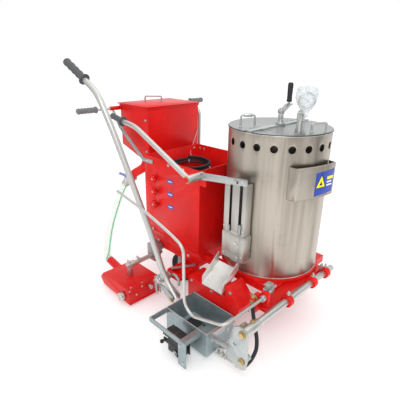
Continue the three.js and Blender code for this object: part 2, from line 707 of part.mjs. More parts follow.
function railBeam() {
  const boss = block(222, 258, -372, -352, 266, 334);
  const clamps = CLAMP_Y.flatMap((y) => [
    rod(27, v(RAIL.x, y - 14, RAIL.z), v(RAIL.x, y + 14, RAIL.z)),
    block(250, RAIL.x, y - 14, y + 14, 254, 267.5),
    block(RAIL.x - 4, RAIL.x + 8, y - 9, y + 9, RAIL.z + 20, RAIL.z + 36),
  ]);
  const beam = join(
    block(205, 262, -390, 125, 254, 267.5),
    block(205, 211, -390, 125, 226, 258),
    boss,
    block(205, 225, -400, -376, 254, 330),
    rod(8, v(220, -430, 318), v(212, -388, 318)),
    rod(10, v(220, -430, 302.2), v(220, -430, 330)),
    ...clamps,
  );
  return cut(
    beam,
    rod(RAIL.radius + GAP, v(RAIL.x, -300, RAIL.z), v(RAIL.x, 200, RAIL.z), 24),
    rod(7.3, v(ROD_PIVOT.x, -390, ROD_PIVOT.z), v(ROD_PIVOT.x, -330, ROD_PIVOT.z), 16),
  );
}

function frontRail() {
  const rail = join(
    tube(RAIL.radius, 11, v(RAIL.x, RAIL.y0, RAIL.z), v(RAIL.x, RAIL.y1, RAIL.z)),
    rod(12, v(RAIL.x, RAIL.y0, RAIL.z), v(RAIL.x, -520, RAIL.z), 16),
    rod(9, v(RAIL.x, -578, RAIL.z), v(RAIL.x, -540, RAIL.z), 16),
    rod(19, v(RAIL.x, -574, RAIL.z), v(RAIL.x, -570.4, RAIL.z), 20),
    hexHead(13, v(RAIL.x, -584, RAIL.z), v(RAIL.x, -573, RAIL.z)),
  );
  return section(
    v(0, 0, 0),
    piece('rail_beam', RED, railBeam()),
    piece('front_rail', STEEL_TUBE, rail),
  );
}

function swingArm() {
  const sleeve = tube(21, RAIL.radius + GAP, v(RAIL.x, -562, RAIL.z), v(RAIL.x, -470, RAIL.z));
  const plate = sidePlate([
    [236, 268], [205, 180], [222, 156], [198, 113], [214, 98], [276, 78], [306, 90], [312, 130], [307, 262],
    [296, 280], [258, 284],
  ], -570, -561, [[RAIL.x, RAIL.z, 9.5], [246, 190, 9]]);
  const arm = join(
    sleeve,
    plate,
    block(254, 268, -561.4, -520, 266, 278),
    block(102, 226, -561.2, -552, 120, 148),
    block(98.3, 110, -561.2, -470, 116, 148),
    hexHead(13.5, v(286, -582, 118), v(286, -569, 118)),
    rod(14, v(286, -562, 118), v(286, -522, 118), 18),
  );
  return piece('swing_arm', GALVANISED, arm);
}

function shoe() {
  const { x0, x1, y0, y1, z0, z1 } = SHOE;
  const hopper = cut(
    block(x0, x1 - GAP, y0, y1, z0, z1),
    block(x0 + SHEET, x1 - GAP - SHEET, y0 + SHEET, y1 - SHEET, z0 + 4, z1 + 10),
    block(SHOE_SLOT.x0, SHOE_SLOT.x1, y0 + 25, y1 - 25, z0 - 10, z0 + 10),
  );
  const gateEdge = SHOE_SLOT.x1 + 4;
  const gate = join(
    block(gateEdge, gateEdge + 64, y0 + 12, y1 - 12, z0 + 4.4, z0 + 8),
    rod(6, v(gateEdge + 11, -438, 28), v(gateEdge + 11, -438, 36), 12),
  );
  const ring = join(
    block(x0, x0 + 8, -685, y0 - GAP, 122, z1),
    block(x0, 66, -685, -679, 122, z1),
    block(38, 66, -685, y0 - GAP, 122, z1),
    block(34, 80, -691, -684.5, 18, 147),
  );
  const bracket = join(
    block(-60, 33.6, -668, -616, 108, 121.7),
    block(-60, 33.6, -668, -662, 20, 110),
    block(-60, 33.6, -622, -616, 20, 110),
    block(-88, -44, -674, -610, 96, 112),
    rod(7, v(ROLLER.x, -674, ROLLER.radius), v(ROLLER.x, -610, ROLLER.radius), 14),
    hexHead(11, v(ROLLER.x, -676, ROLLER.radius), v(ROLLER.x, -667, ROLLER.radius)),
    hexHead(11, v(ROLLER.x, -617, ROLLER.radius), v(ROLLER.x, -608, ROLLER.radius)),
  );
  const roller = cut(
    rod(ROLLER.radius, v(0, -ROLLER.width / 2, 0), v(0, ROLLER.width / 2, 0), 32),
    rod(7.4, v(0, -40, 0), v(0, 40, 0), 16),
  );
  const burner = join(
    rod(8, v(100, -520, 28), v(238, -520, 30), 12),
    rod(13, v(120, -520, 28.2), v(150, -520, 28.6), 12),
    rod(6, v(135, -520, 28), v(135, -520, 62), 10),
  );
  return section(
    v(0, 0, 0),
    piece('shoe_hopper', GALVANISED, hopper),
    piece('shoe_gate', GALVANISED, gate),
    piece('shoe_guide_frame', GALVANISED, ring),
    piece('roller_bracket', BLACK_IRON, bracket),
    section(
      v(ROLLER.x, ROLLER.y, ROLLER.radius),
      piece('support_roller', BLACK_RUBBER, roller),
    ),
    piece('shoe_burner_pipe', STEEL_TUBE, burner),
  );
}

const GAS_HOSE_ROUTE = [
  v(220, -430, 300), v(226, -431, 272), v(238, -437, 240), v(258, -447, 200), v(280, -462, 165),
  v(291, -478, 130), v(287, -496, 92), v(273, -511, 58), v(256, -519, 36), v(241, -520, 30.4),
];

function gasHose() {
  const path = new THREE.CatmullRomCurve3(GAS_HOSE_ROUTE, false, 'centripetal');
  return piece('shoe_gas_hose', BLACK_RUBBER, sweep(path, 8.5, 8, 24));
}

// ---- Lift lever and outrigger ----

function liftLever() {
  const at = LIFT_PIVOT;
  const point = (x, y, z) => v(x - at.x, y - at.y, z - at.z);
  // Above its pivot the lever leans out, so that it passes outside the push grip.
  const route = [
    point(-216, -480, 124), point(-306, -480, 214), point(-396, -497, 456), point(-579, -548, 920),
    point(-624, -562, 1025), point(-677, -568, 1112), point(-779, -572, 1169), point(-931, -578, 1247),
  ];
  const tubeSolid = sweep(bentPath(route, 70), HANDLE_RADIUS, 8, 28);
  const boss = rod(24, v(0, -28, 0), v(0, 28, 0), 24);
  const ear = sidePlate([[-6, -30], [30, -30], [100, -62], [100, -92], [84, -97], [-30, -20], [-30, 10]], -26, -18);
  const lever = cut(
    join(tubeSolid, boss, ear),
    rod(13.3, v(0, -40, 0), v(0, 40, 0), 20),
  );
  const gripFrom = point(-777.5, -572, 1168.2);
  const gripTo = point(-938, -578.3, 1250.6);
  const grip = cut(
    join(rod(GRIP_RADIUS, gripFrom, gripTo, 14), rod(29, gripFrom, gripFrom.clone().lerp(gripTo, 0.05), 16)),
    rod(HANDLE_RADIUS + 1.8, gripFrom.clone().lerp(gripTo, -0.1), gripFrom.clone().lerp(gripTo, 0.965), 12),
  );
  const beam = join(
    cut(block(-20, 72, 42, 195.7, -14, 26), block(-10, 62, 60, 188, -30, 20)),
    block(-20, 72, 190, 195.7, -14, 60),
    rod(13, v(0, -44, 0), v(0, 60, 0), 20),
    rod(19, v(0, 29, 0), v(0, 44, 0), 20),
    hexHead(17, v(0, -48, 0), v(0, -34, 0)),
  );
  return section(
    at,
    piece('lift_lever', STEEL_TUBE, lever),
    piece('lift_grip', GREY_RUBBER, grip),
    piece('outrigger_beam', RED, beam),
  );
}

function rodLever() {
  const at = ROD_PIVOT;
  const point = (x, y, z) => v(x - at.x, y - at.y, z - at.z);
  const route = [
    point(240, -342, 314), point(240, -636, 314), point(60, -636, 258), point(14, -636, 300),
    point(10, -636, 566), point(-60, -636, 596), point(-228, -636, 645), point(-449, -636, 686),
  ];
  const lever = join(
    sweep(bentPath(route, 34), 6.4, 6, 34),
    rod(14, v(0, -32, 0), v(0, -10.4, 0), 18),
  );
  return section(at, piece('gate_rod', STEEL_TUBE, lever));
}

// ---- Whole machine ----

const machine = new THREE.Group();
machine.add(
  chassis(),
  wheelGuard(),
  mainWheel('right', WHEEL_RIGHT_Y),
  mainWheel('left', WHEEL_LEFT_Y),
  mainAxle(),
  caster(),
  kettle(),
  halfLid('front', 1),
  halfLid('rear', -1),
  mixer(),
  thermometer(),
  documentPocket(),
  dischargeGate(),
  chute(),
  dischargeLever(),
  gasBox(),
  beadHopper(),
  beadHose(),
  dispenser(),
  handlebar(),
  frontRail(),
  swingArm(),
  shoe(),
  gasHose(),
  liftLever(),
  rodLever(),
);

// The origin is on the road, under the middle of the machine's outline.
const bounds = new THREE.Box3().setFromObject(machine, true);
const middle = bounds.getCenter(new THREE.Vector3());
machine.position.set(-middle.x, -middle.y, -bounds.min.z);

export default machine;
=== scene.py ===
"""Hand-pushed line striping machine for hot road paint: its finished look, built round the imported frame.

Sizes inside the classes are millimetres from the kettle's axis on the road, and Bench turns them into metres.
"""

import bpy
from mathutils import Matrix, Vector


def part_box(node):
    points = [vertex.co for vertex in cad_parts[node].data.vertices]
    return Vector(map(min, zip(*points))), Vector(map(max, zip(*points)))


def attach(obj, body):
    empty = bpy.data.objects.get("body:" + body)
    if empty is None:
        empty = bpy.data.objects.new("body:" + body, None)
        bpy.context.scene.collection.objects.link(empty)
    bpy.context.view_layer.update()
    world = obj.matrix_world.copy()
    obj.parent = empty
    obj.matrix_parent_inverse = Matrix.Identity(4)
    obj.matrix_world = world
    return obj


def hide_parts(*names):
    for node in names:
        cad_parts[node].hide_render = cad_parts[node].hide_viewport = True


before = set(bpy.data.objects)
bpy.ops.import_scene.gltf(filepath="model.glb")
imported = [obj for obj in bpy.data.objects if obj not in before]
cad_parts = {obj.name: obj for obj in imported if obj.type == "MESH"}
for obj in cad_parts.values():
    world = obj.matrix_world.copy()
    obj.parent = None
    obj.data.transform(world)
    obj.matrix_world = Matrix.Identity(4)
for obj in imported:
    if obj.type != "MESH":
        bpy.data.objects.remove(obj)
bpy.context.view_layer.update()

import logging
import math
from dataclasses import dataclass
from enum import Enum
from typing import Any, Sequence

import bpy
from mathutils import Matrix, Vector, noise

log = logging.getLogger("striping_machine")

MM = 0.001
Point = tuple[float, float, float]
_low, _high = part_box("kettle_shell")
AXIS = Vector(((_low.x + _high.x) / 2, (_low.y + _high.y) / 2, 0.0))


def at(x: float, y: float, z: float) -> Vector:
    """Turns millimetres from the kettle's axis into metres in the frame."""
    return AXIS + Vector((x, y, z)) * MM


# ---- Shader writing ----


class Wire:
    """A number on its way through a material, which ordinary arithmetic can use."""

    def __init__(self, graph: "Graph", socket: bpy.types.NodeSocket) -> None:
        """Keeps the graph and the socket that the number comes from."""
        self.graph = graph
        self.socket = socket

    def _sum(self, operation: str, first: Any, second: Any) -> "Wire":
        """Adds one Math node for a pair of numbers or wires."""
        return self.graph.node("ShaderNodeMath", {"operation": operation}, {0: first, 1: second})

    def __add__(self, other: Any) -> "Wire":
        """Gives self + other."""
        return self._sum("ADD", self, other)

    __radd__ = __add__

    def __sub__(self, other: Any) -> "Wire":
        """Gives self - other."""
        return self._sum("SUBTRACT", self, other)

    def __rsub__(self, other: Any) -> "Wire":
        """Gives other - self."""
        return self._sum("SUBTRACT", other, self)

    def __mul__(self, other: Any) -> "Wire":
        """Gives self * other."""
        return self._sum("MULTIPLY", self, other)

    __rmul__ = __mul__

    def __truediv__(self, other: Any) -> "Wire":
        """Gives self / other."""
        return self._sum("DIVIDE", self, other)

    def __rtruediv__(self, other: Any) -> "Wire":
        """Gives other / self."""
        return self._sum("DIVIDE", other, self)

    def __pow__(self, other: Any) -> "Wire":
        """Gives self ** other."""
        return self._sum("POWER", self, other)

    def above(self, low: float, high: float) -> "Wire":
        """Goes smoothly from 0 at low to 1 at high."""
        return self.graph.node(
            "ShaderNodeMapRange",
            {"interpolation_type": "SMOOTHSTEP"},
            {"Value": self, "From Min": low, "From Max": high, "To Min": 0.0, "To Max": 1.0},
        )


class Graph:
    """A material's node tree, and the few moves that the finishes write it with."""

    def __init__(self, name: str) -> None:
        """Starts an empty material of that name.

        Args:
            name: The material's name.
        """
        self.material = bpy.data.materials.new(name)
        self.material.use_nodes = True
        self.tree = self.material.node_tree
        self.tree.nodes.clear()
        self.output = self.tree.nodes.new("ShaderNodeOutputMaterial")

    def node(
        self,
        kind: str,
        settings: dict[str, Any] | None = None,
        inputs: dict[Any, Any] | None = None,
        output: Any = 0,
    ) -> Wire:
        """Adds a node.

        Args:
            kind: The node's type name.
            settings: Properties set first. "stops" gives a ramp's (place, colour) pairs.
            inputs: Values or wires by socket name or number.
            output: The name or number of the socket to hand back.

        Returns:
            The chosen output as a wire.
        """
        made = self.tree.nodes.new(kind)
        for name, value in (settings or {}).items():
            if name == "stops":
                ramp = made.color_ramp
                while len(ramp.elements) < len(value):
                    ramp.elements.new(0.5)
                for element, (place, colour) in zip(ramp.elements, value):
                    element.position = place
                    element.color = (*colour, 1.0)
            else:
                setattr(made, name, value)
        for name, value in (inputs or {}).items():
            self.feed(made.inputs[name], value)
        return Wire(self, made.outputs[output])

    def feed(self, socket: bpy.types.NodeSocket, value: Any) -> None:
        """Links a wire to a socket, or sets the socket's own value."""
        if isinstance(value, Wire):
            self.tree.links.new(value.socket, socket)
        elif isinstance(value, (tuple, list, Vector)) and len(value) == 3 and len(socket.default_value) == 4:
            socket.default_value = (*value, 1.0)
        else:
            socket.default_value = value

    def place(self, stretch: Point = (1, 1, 1), turn: Point = (0, 0, 0)) -> Wire:
        """Gives the object's own coordinates, scaled and turned."""
        own = self.node("ShaderNodeTexCoord", output="Object")
        return self.node("ShaderNodeMapping", None, {"Vector": own, "Scale": stretch, "Rotation": turn})

    def noise(self, scale: float, detail: float = 3, rough: float = 0.5, where: Wire | None = None) -> Wire:
        """Gives cloudy noise from 0 to 1."""
        where = where or self.place()
        return self.node(
            "ShaderNodeTexNoise", None, {
                "Vector": where, "Scale": scale, "Detail": detail, "Roughness": rough
            }
        )

    def cells(self, scale: float, where: Wire | None = None, output: str = "Color") -> Wire:
        """Gives crystal cells, each of one colour, or the distance inside them."""
        where = where or self.place()
        return self.node("ShaderNodeTexVoronoi", None, {"Vector": where, "Scale": scale}, output)

    def blend(self, amount: Any, first: Any, second: Any) -> Wire:
        """Mixes two colours by an amount."""
        return self.node("ShaderNodeMix", {"data_type": "RGBA"}, {0: amount, 6: first, 7: second}, 2)

    def bump(self, height: Wire, strength: float, distance: float, below: Wire | None = None) -> Wire:
        """Turns a height into a surface normal."""
        inputs = {"Height": height, "Strength": strength, "Distance": distance}
        if below is not None:
            inputs["Normal"] = below
        return self.node("ShaderNodeBump", None, inputs)

    def height(self) -> Wire:
        """Gives the height above the road, in metres."""
        own = self.node("ShaderNodeTexCoord", output="Object")
        return self.node("ShaderNodeSeparateXYZ", None, {0: own}, "Z")

    def finish(self, **sockets: Any) -> bpy.types.Material:
        """Ends the tree in one Principled shader.

        Args:
            sockets: Values or wires by the shader's socket names, with _ for a space.

        Returns:
            The finished material.
        """
        shader = self.tree.nodes.new("ShaderNodeBsdfPrincipled")
        for name, value in sockets.items():
            self.feed(shader.inputs[name.replace("_", " ")], value)
        self.tree.links.new(shader.outputs[0], self.output.inputs["Surface"])
        return self.material


@dataclass(frozen=True)
class Finish:
    """What every finish has: its name and the record's slot that it belongs to."""

    name: str
    slot: str

    def write(self, graph: Graph) -> bpy.types.Material:
        """Writes the nodes; each finish has its own."""
        raise NotImplementedError

    def material(self) -> bpy.types.Material:
        """Gives the finish's one material, made the first time it is asked for."""
        return bpy.data.materials.get(self.name) or self.write(Graph(self.name))


@dataclass(frozen=True)
class Enamel(Finish):
    """Sprayed paint on sheet steel, with orange peel, road dust low down and fine scuffs."""

    colour: Point = (0.80, 0.008, 0.006)
    shade: Point = (0.62, 0.005, 0.005)
    roughness: float = 0.3
    dust: float = 0.5

    def write(self, graph: Graph) -> bpy.types.Material:
        """Writes the paint."""
        cloud = graph.noise(5.0, 4, 0.6)
        mottle = graph.noise(38.0, 3, 0.6)
        tone = graph.blend((cloud * 0.7 + mottle * 0.3).above(0.35, 0.68), self.shade, self.colour)
        scratch = graph.noise(1.0, 2, 0.5, graph.place((60, 60, 700), (0.5, 0.3, 0.2)))
        scuff = scratch.above(0.70, 0.76) * graph.noise(9.0, 2).above(0.5, 0.68)
        low = 1 - graph.height().above(0.02, 0.42)
        dirt = graph.noise(22.0, 5, 0.7).above(0.42, 0.8) * (0.12 + 0.88 * low) * self.dust
        tone = graph.blend(scuff * 0.35, tone, (0.72, 0.5, 0.47))
        tone = graph.blend(dirt * 0.5, tone, (0.24, 0.16, 0.13))
        peel = graph.noise(420.0, 2, 0.5)
        ripple = graph.noise(7.0, 1, 0.4)
        normal = graph.bump(peel, 0.05, 0.0006, graph.bump(ripple, 0.10, 0.012))
        rough = self.roughness + mottle * 0.08 + dirt * 0.4 + scuff * 0.2
        return graph.finish(
            Base_Color=tone,
            Roughness=rough,
            Normal=normal,
            Coat_Weight=0.04,
            Coat_Roughness=0.15,
            Specular_IOR_Level=0.22,
        )


@dataclass(frozen=True)
class Sheet(Finish):
    """Brushed sheet metal: fine grain along the height, soft dents, warm stains and hand marks."""

    colour: Point = (0.66, 0.625, 0.58)
    stain: Point = (0.40, 0.335, 0.275)
    roughness: float = 0.26
    dent: float = 0.5
    grain: Point = (420, 420, 5)
    metallic: float = 1.0

    def write(self, graph: Graph) -> bpy.types.Material:
        """Writes the metal."""
        fine = graph.noise(1.0, 3, 0.6, graph.place(self.grain))
        bands = graph.noise(1.0, 3, 0.55, graph.place((16, 16, 0.7)))
        blotch = graph.noise(7.0, 5, 0.65)
        tone = graph.blend(
            bands.above(0.45, 0.72) * 0.6 + blotch.above(0.52, 0.8) * 0.3, self.colour, self.stain
        )
        tone = graph.blend((fine * 0.35).above(0.1, 0.5) * 0.3, tone, (0.86, 0.84, 0.8))
        wave = graph.noise(1.0, 2, 0.5, graph.place((9, 9, 2.2)))
        normal = graph.bump(wave, self.dent, 0.006)
        normal = graph.bump(fine, 0.09, 0.0006, normal)
        rough = self.roughness + fine * 0.12 + blotch * 0.1
        return graph.finish(
            Base_Color=tone, Roughness=rough, Metallic=self.metallic, Normal=normal, Anisotropic=0.4
        )


@dataclass(frozen=True)
class Zinc(Finish):
    """Zinc-coated steel with its crystal spangle, dulled where it has weathered."""

    colour: Point = (0.60, 0.66, 0.68)
    dark: Point = (0.40, 0.46, 0.49)
    spangle: float = 70.0
    roughness: float = 0.36
    metallic: float = 0.9

    def write(self, graph: Graph) -> bpy.types.Material:
        """Writes the coating."""
        warp = graph.noise(30.0, 2)
        crystal = graph.node("ShaderNodeSeparateColor", None, {0: graph.cells(self.spangle)}, 0)
        cloud = graph.noise(9.0, 4, 0.6)
        tone = graph.blend(crystal * 0.5 + cloud * 0.5, self.dark, self.colour)
        white = graph.noise(55.0, 5, 0.75).above(0.62, 0.8)
        tone = graph.blend(white * 0.25, tone, (0.78, 0.8, 0.8))
        normal = graph.bump(warp * 0.6 + crystal * 0.4, 0.12, 0.0012)
        rough = self.roughness + crystal * 0.1 + cloud * 0.08 + white * 0.15
        return graph.finish(Base_Color=tone, Roughness=rough, Metallic=self.metallic, Normal=normal)


@dataclass(frozen=True)
class Turned(Finish):
    """Machined or drawn metal: faint rings and draw marks, handled to a soft shine."""

    colour: Point = (0.74, 0.72, 0.69)
    worn: Point = (0.55, 0.53, 0.50)
    roughness: float = 0.28
    metallic: float = 0.95

    def write(self, graph: Graph) -> bpy.types.Material:
        """Writes the metal."""
        cloud = graph.noise(26.0, 5, 0.65)
        fleck = graph.noise(240.0, 3, 0.6)
        tone = graph.blend(
            cloud.above(0.4, 0.7) * 0.55 + fleck.above(0.55, 0.8) * 0.3, self.colour, self.worn
        )
        normal = graph.bump(fleck * 0.5 + cloud * 0.5, 0.10, 0.0008)
        rough = self.roughness + cloud * 0.14 + fleck * 0.06
        return graph.finish(Base_Color=tone, Roughness=rough, Metallic=self.metallic, Normal=normal)


@dataclass(frozen=True)
class Rubber(Finish):
    """Moulded rubber or soft plastic with a matte skin and pale dust."""

    colour: Point = (0.022, 0.023, 0.026)
    dusty: Point = (0.10, 0.095, 0.09)
    roughness: float = 0.58
    dust: float = 0.4

    def write(self, graph: Graph) -> bpy.types.Material:
        """Writes the rubber."""
        skin = graph.noise(520.0, 2, 0.6)
        cloud = graph.noise(16.0, 5, 0.65)
        tone = graph.blend(cloud.above(0.45, 0.78) * self.dust, self.colour, self.dusty)
        normal = graph.bump(skin, 0.22, 0.0005)
        rough = self.roughness + cloud * 0.2
        return graph.finish(Base_Color=tone, Roughness=rough, Normal=normal, Specular_IOR_Level=0.4)


@dataclass(frozen=True)
class ClearPlastic(Finish):
    """Clear flexible plastic: thin and glassy face-on, milky at its edges, with soft creases."""

    tint: Point = (0.90, 0.95, 0.92)
    thin: float = 0.28
    edge: float = 0.8
    crease: float = 0.25
    roughness: float = 0.12

    def write(self, graph: Graph) -> bpy.types.Material:
        """Writes the plastic."""
        fold = graph.noise(1.0, 3, 0.55, graph.place((45, 45, 22)))
        ridge = fold.above(0.48, 0.56) * (1 - fold.above(0.56, 0.64))
        normal = graph.bump(fold, self.crease, 0.01)
        facing = graph.node("ShaderNodeLayerWeight", None, {"Blend": 0.35}, "Facing")
        cover = self.thin + facing * (self.edge - self.thin) + ridge * self.crease * 0.4
        tone = graph.blend(ridge * 0.4, self.tint, (0.72, 0.78, 0.8))
        return graph.finish(
            Base_Color=tone,
            Roughness=self.roughness + fold * 0.1,
            Alpha=cover,
            Normal=normal,
            Coat_Weight=0.3,
        )


@dataclass(frozen=True)
class Print(Finish):
    """A plain printed plastic label."""

    colour: Point = (0.02, 0.06, 0.36)

    def write(self, graph: Graph) -> bpy.types.Material:
        """Writes the label."""
        cloud = graph.noise(40.0, 3)
        paler = tuple(min(1.0, 1.2 * part + 0.02) for part in self.colour)
        tone = graph.blend(cloud.above(0.4, 0.75) * 0.4, self.colour, paler)
        return graph.finish(
            Base_Color=tone, Roughness=0.3 + cloud * 0.15, Normal=graph.bump(
                cloud, 0.05, 0.001
            ), Coat_Weight=0.2
        )


RED = Enamel("red_enamel", "red_paint")
STAINLESS = Sheet("brushed_stainless", "stainless_sheet", (0.51, 0.455, 0.39), (0.24, 0.20, 0.16))
LID_STEEL = Zinc("lid_steel", "stainless_sheet", (0.52, 0.53, 0.52), (0.28, 0.29, 0.29), 120.0, 0.28, 1.0)
GATE_STEEL = Sheet("gate_steel", "stainless_sheet", (0.56, 0.55, 0.51), (0.34, 0.32, 0.29), 0.3, 0.3)
INNER_STEEL = Sheet("sooty_steel", "stainless_sheet", (0.36, 0.33, 0.30), (0.16, 0.13, 0.11), 0.45, 0.3)
GALVANISED = Zinc("galvanised_plate", "galvanised_steel", (0.50, 0.54, 0.54), (0.34, 0.38, 0.38))
SHOE_STEEL = Zinc("shoe_plate", "galvanised_steel", (0.40, 0.47, 0.48), (0.27, 0.34, 0.36), 60.0, 0.36, 0.8)
CHUTE_STEEL = Sheet("chute_steel", "stainless_sheet", (0.84, 0.83, 0.80), (0.60, 0.58, 0.55), 0.34, 0.2)
BRIGHT_ZINC = Zinc(
    "bright_zinc", "galvanised_steel", (0.60, 0.63, 0.62), (0.40, 0.44, 0.44), 160.0, 0.28, 0.9
)
SILVER = Turned("silver_tube", "silver_tube", (0.60, 0.58, 0.55), (0.42, 0.40, 0.37), 0.24)
FASTENER = Turned("bright_fastener", "silver_tube", (0.66, 0.65, 0.62), (0.46, 0.44, 0.41), 0.24)
YELLOW_ZINC = Turned("yellow_zinc", "silver_tube", (0.62, 0.50, 0.27), (0.42, 0.33, 0.17), 0.3)
BRASS = Turned("turned_brass", "silver_tube", (0.52, 0.36, 0.18), (0.33, 0.22, 0.10), 0.3, 1.0)
BLACK_RUBBER = Rubber("black_rubber", "black_rubber")
TYRE = Rubber("tyre_rubber", "black_rubber", (0.025, 0.025, 0.027), (0.16, 0.145, 0.13), 0.7, 0.6)
GRIP = Rubber("grip_rubber", "grey_rubber", (0.085, 0.088, 0.095), (0.17, 0.17, 0.175), 0.5, 0.5)
PUSH_GRIP = Rubber("push_grip_rubber", "grey_rubber", (0.16, 0.165, 0.17), (0.26, 0.26, 0.26), 0.5, 0.5)
CAST_IRON = Rubber("cast_iron", "black_iron", (0.018, 0.018, 0.02), (0.09, 0.08, 0.075), 0.42, 0.5)
CLEAR_HOSE = ClearPlastic("clear_hose", "clear_hose", (0.27, 0.28, 0.26), 0.4, 1.0, 0.08, 0.15)
CLEAR_BAG = ClearPlastic("clear_bag", "clear_hose", (0.78, 0.83, 0.86), 0.10, 0.70, 0.6, 0.1)
WHITE = Enamel("white_enamel", "white_paint", (0.66, 0.67, 0.68), (0.5, 0.51, 0.52), 0.3, 0.3)
GAS_ENAMEL = Enamel("gas_enamel", "gas_grey", (0.16, 0.19, 0.21), (0.11, 0.13, 0.15), 0.35, 0.3)
BLUE_LABEL = Print("blue_label", "white_paint", (0.012, 0.05, 0.38))
PALE_BLUE_LABEL = Print("pale_blue_label", "white_paint", (0.16, 0.22, 0.5))
YELLOW_LABEL = Print("yellow_label", "white_paint", (0.92, 0.83, 0.02))
BLACK_LABEL = Print("black_label", "white_paint", (0.02, 0.02, 0.02))
WHITE_LABEL = Print("white_label", "white_paint", (0.8, 0.82, 0.84))
GREEN_STRIPE = Print("green_stripe", "clear_hose", (0.03, 0.62, 0.25))


# ---- Modelling by hand ----


class Bench:
    """The modelling moves that every piece is made with. Lengths are millimetres, places are from at()."""

    @staticmethod
    def deselect() -> None:
        """Leaves edit mode and selects nothing."""
        if bpy.context.object and bpy.context.object.mode != "OBJECT":
            bpy.ops.object.mode_set(mode="OBJECT")
        bpy.ops.object.select_all(action="DESELECT")

    @staticmethod
    def only(piece: bpy.types.Object) -> None:
        """Selects one object and makes it the active one."""
        Bench.deselect()
        bpy.context.view_layer.objects.active = piece
        piece.select_set(True)

    @staticmethod
    def settle(piece: bpy.types.Object) -> bpy.types.Object:
        """Puts the object's place into its mesh."""
        Bench.only(piece)
        bpy.ops.object.transform_apply(location=True, rotation=True, scale=True)
        return piece

    @staticmethod
    def modify(piece: bpy.types.Object, kind: str, **settings: Any) -> bpy.types.Object:
        """Adds one modifier, sets it and applies it.

        Args:
            piece: The object to change.
            kind: The modifier's type.
            settings: The modifier's properties.

        Returns:
            The same object.
        """
        Bench.only(piece)
        modifier = piece.modifiers.new(kind.lower(), kind)
        for name, value in settings.items():
            setattr(modifier, name, value)
        bpy.ops.object.modifier_apply(modifier=modifier.name)
        return piece

    @staticmethod
    def soften(
        piece: bpy.types.Object, width: float, angle: float = 33, segments: int = 2
    ) -> bpy.types.Object:
        """Rounds the edges sharper than an angle by a width."""
        if width > 0:
            Bench.modify(
                piece,
                "BEVEL",
                width=width * MM,
                segments=segments,
                limit_method="ANGLE",
                angle_limit=math.radians(angle),
                use_clamp_overlap=True,
            )
        return piece

    @staticmethod
    def clean(piece: bpy.types.Object, merge: float = 0.02, outward: bool = True) -> bpy.types.Object:
        """Merges doubled points, and turns the faces outwards where that is asked for."""
        Bench.only(piece)
        bpy.ops.object.mode_set(mode="EDIT")
        bpy.ops.mesh.select_all(action="SELECT")
        bpy.ops.mesh.remove_doubles(threshold=merge * MM)
        if outward:
            bpy.ops.mesh.normals_make_consistent(inside=False)
        bpy.ops.object.mode_set(mode="OBJECT")
        return piece

    @staticmethod
    def block(name: str, low: Point, high: Point, bevel: float = 1.0) -> bpy.types.Object:
        """Makes a block between two corners, with rounded edges."""
        Bench.deselect()
        bpy.ops.mesh.primitive_cube_add(size=1, location=(at(*low) + at(*high)) / 2)
        piece = bpy.context.object
        piece.name = name
        piece.scale = [(b - a) * MM for a, b in zip(low, high)]
        Bench.settle(piece)
        return Bench.soften(piece, bevel)

    @staticmethod
    def spun(
        name: str,
        profile: Sequence[tuple[float, float]],
        base: Vector,
        along: Vector,
        steps: int = 48,
        bevel: float = 0.0,
    ) -> bpy.types.Object:
        """Spins a profile about a line.

        Args:
            name: The piece's name.
            profile: Pairs of radius and height, in order round the section.
            base: The place of height 0.
            along: The direction of the line.
            steps: Steps round the turn; 6 makes a hexagon.
            bevel: Width of the rounded edges.

        Returns:
            The finished solid.
        """
        Bench.deselect()
        bpy.ops.mesh.primitive_circle_add(vertices=len(profile), radius=1, fill_type="NOTHING")
        piece = bpy.context.object
        piece.name = name
        for vertex, (radius, height) in zip(piece.data.vertices, profile):
            vertex.co = (radius * MM, 0, height * MM)
        bpy.ops.object.mode_set(mode="EDIT")
        bpy.ops.mesh.select_all(action="SELECT")
        bpy.ops.mesh.spin(
            steps=steps, angle=2 * math.pi, center=(0, 0, 0), axis=(0, 0, 1), use_auto_merge=True
        )
        bpy.ops.object.mode_set(mode="OBJECT")
        Bench.clean(piece)
        turn = Vector((0, 0, 1)).rotation_difference(Vector(along).normalized()).to_matrix().to_4x4()
        piece.matrix_world = Matrix.Translation(base) @ turn
        Bench.settle(piece)
        return Bench.soften(piece, bevel)

    @staticmethod
    def rod(
        name: str,
        radius: float,
        start: Vector,
        end: Vector,
        bevel: float = 1.0,
        steps: int = 32,
        bore: float = 0.0,
    ) -> bpy.types.Object:
        """Makes a round bar or tube between two places, with chamfered ends."""
        length = (end - start).length / MM
        chamfer = min(bevel, radius * 0.45, length * 0.3)
        inner = bore if bore else 0.0
        profile = [
            (inner, 0), (radius - chamfer, 0), (radius - chamfer * 0.3, chamfer * 0.3), (radius, chamfer)
        ]
        profile += [(radius, length - chamfer), (radius - chamfer * 0.3, length - chamfer * 0.3)]
        profile += [(radius - chamfer, length), (inner, length)]
        return Bench.spun(name, profile, start, end - start, steps)

    @staticmethod
    def pipe(name: str, points: Sequence[Vector], radius: float, sides: int = 6) -> bpy.types.Object:
        """Makes a round tube along points, as a curve turned into a mesh."""
        data = bpy.data.curves.new(name, "CURVE")
        data.dimensions = "3D"
        data.bevel_depth = radius * MM
        data.bevel_resolution = sides
        data.use_fill_caps = True
        spline = data.splines.new("POLY")
        spline.points.add(len(points) - 1)
        for target, point in zip(spline.points, points):
            target.co = (*point, 1)
        piece = bpy.data.objects.new(name, data)
        bpy.context.scene.collection.objects.link(piece)
        Bench.only(piece)
        bpy.ops.object.convert(target="MESH")
        return Bench.clean(bpy.context.object)

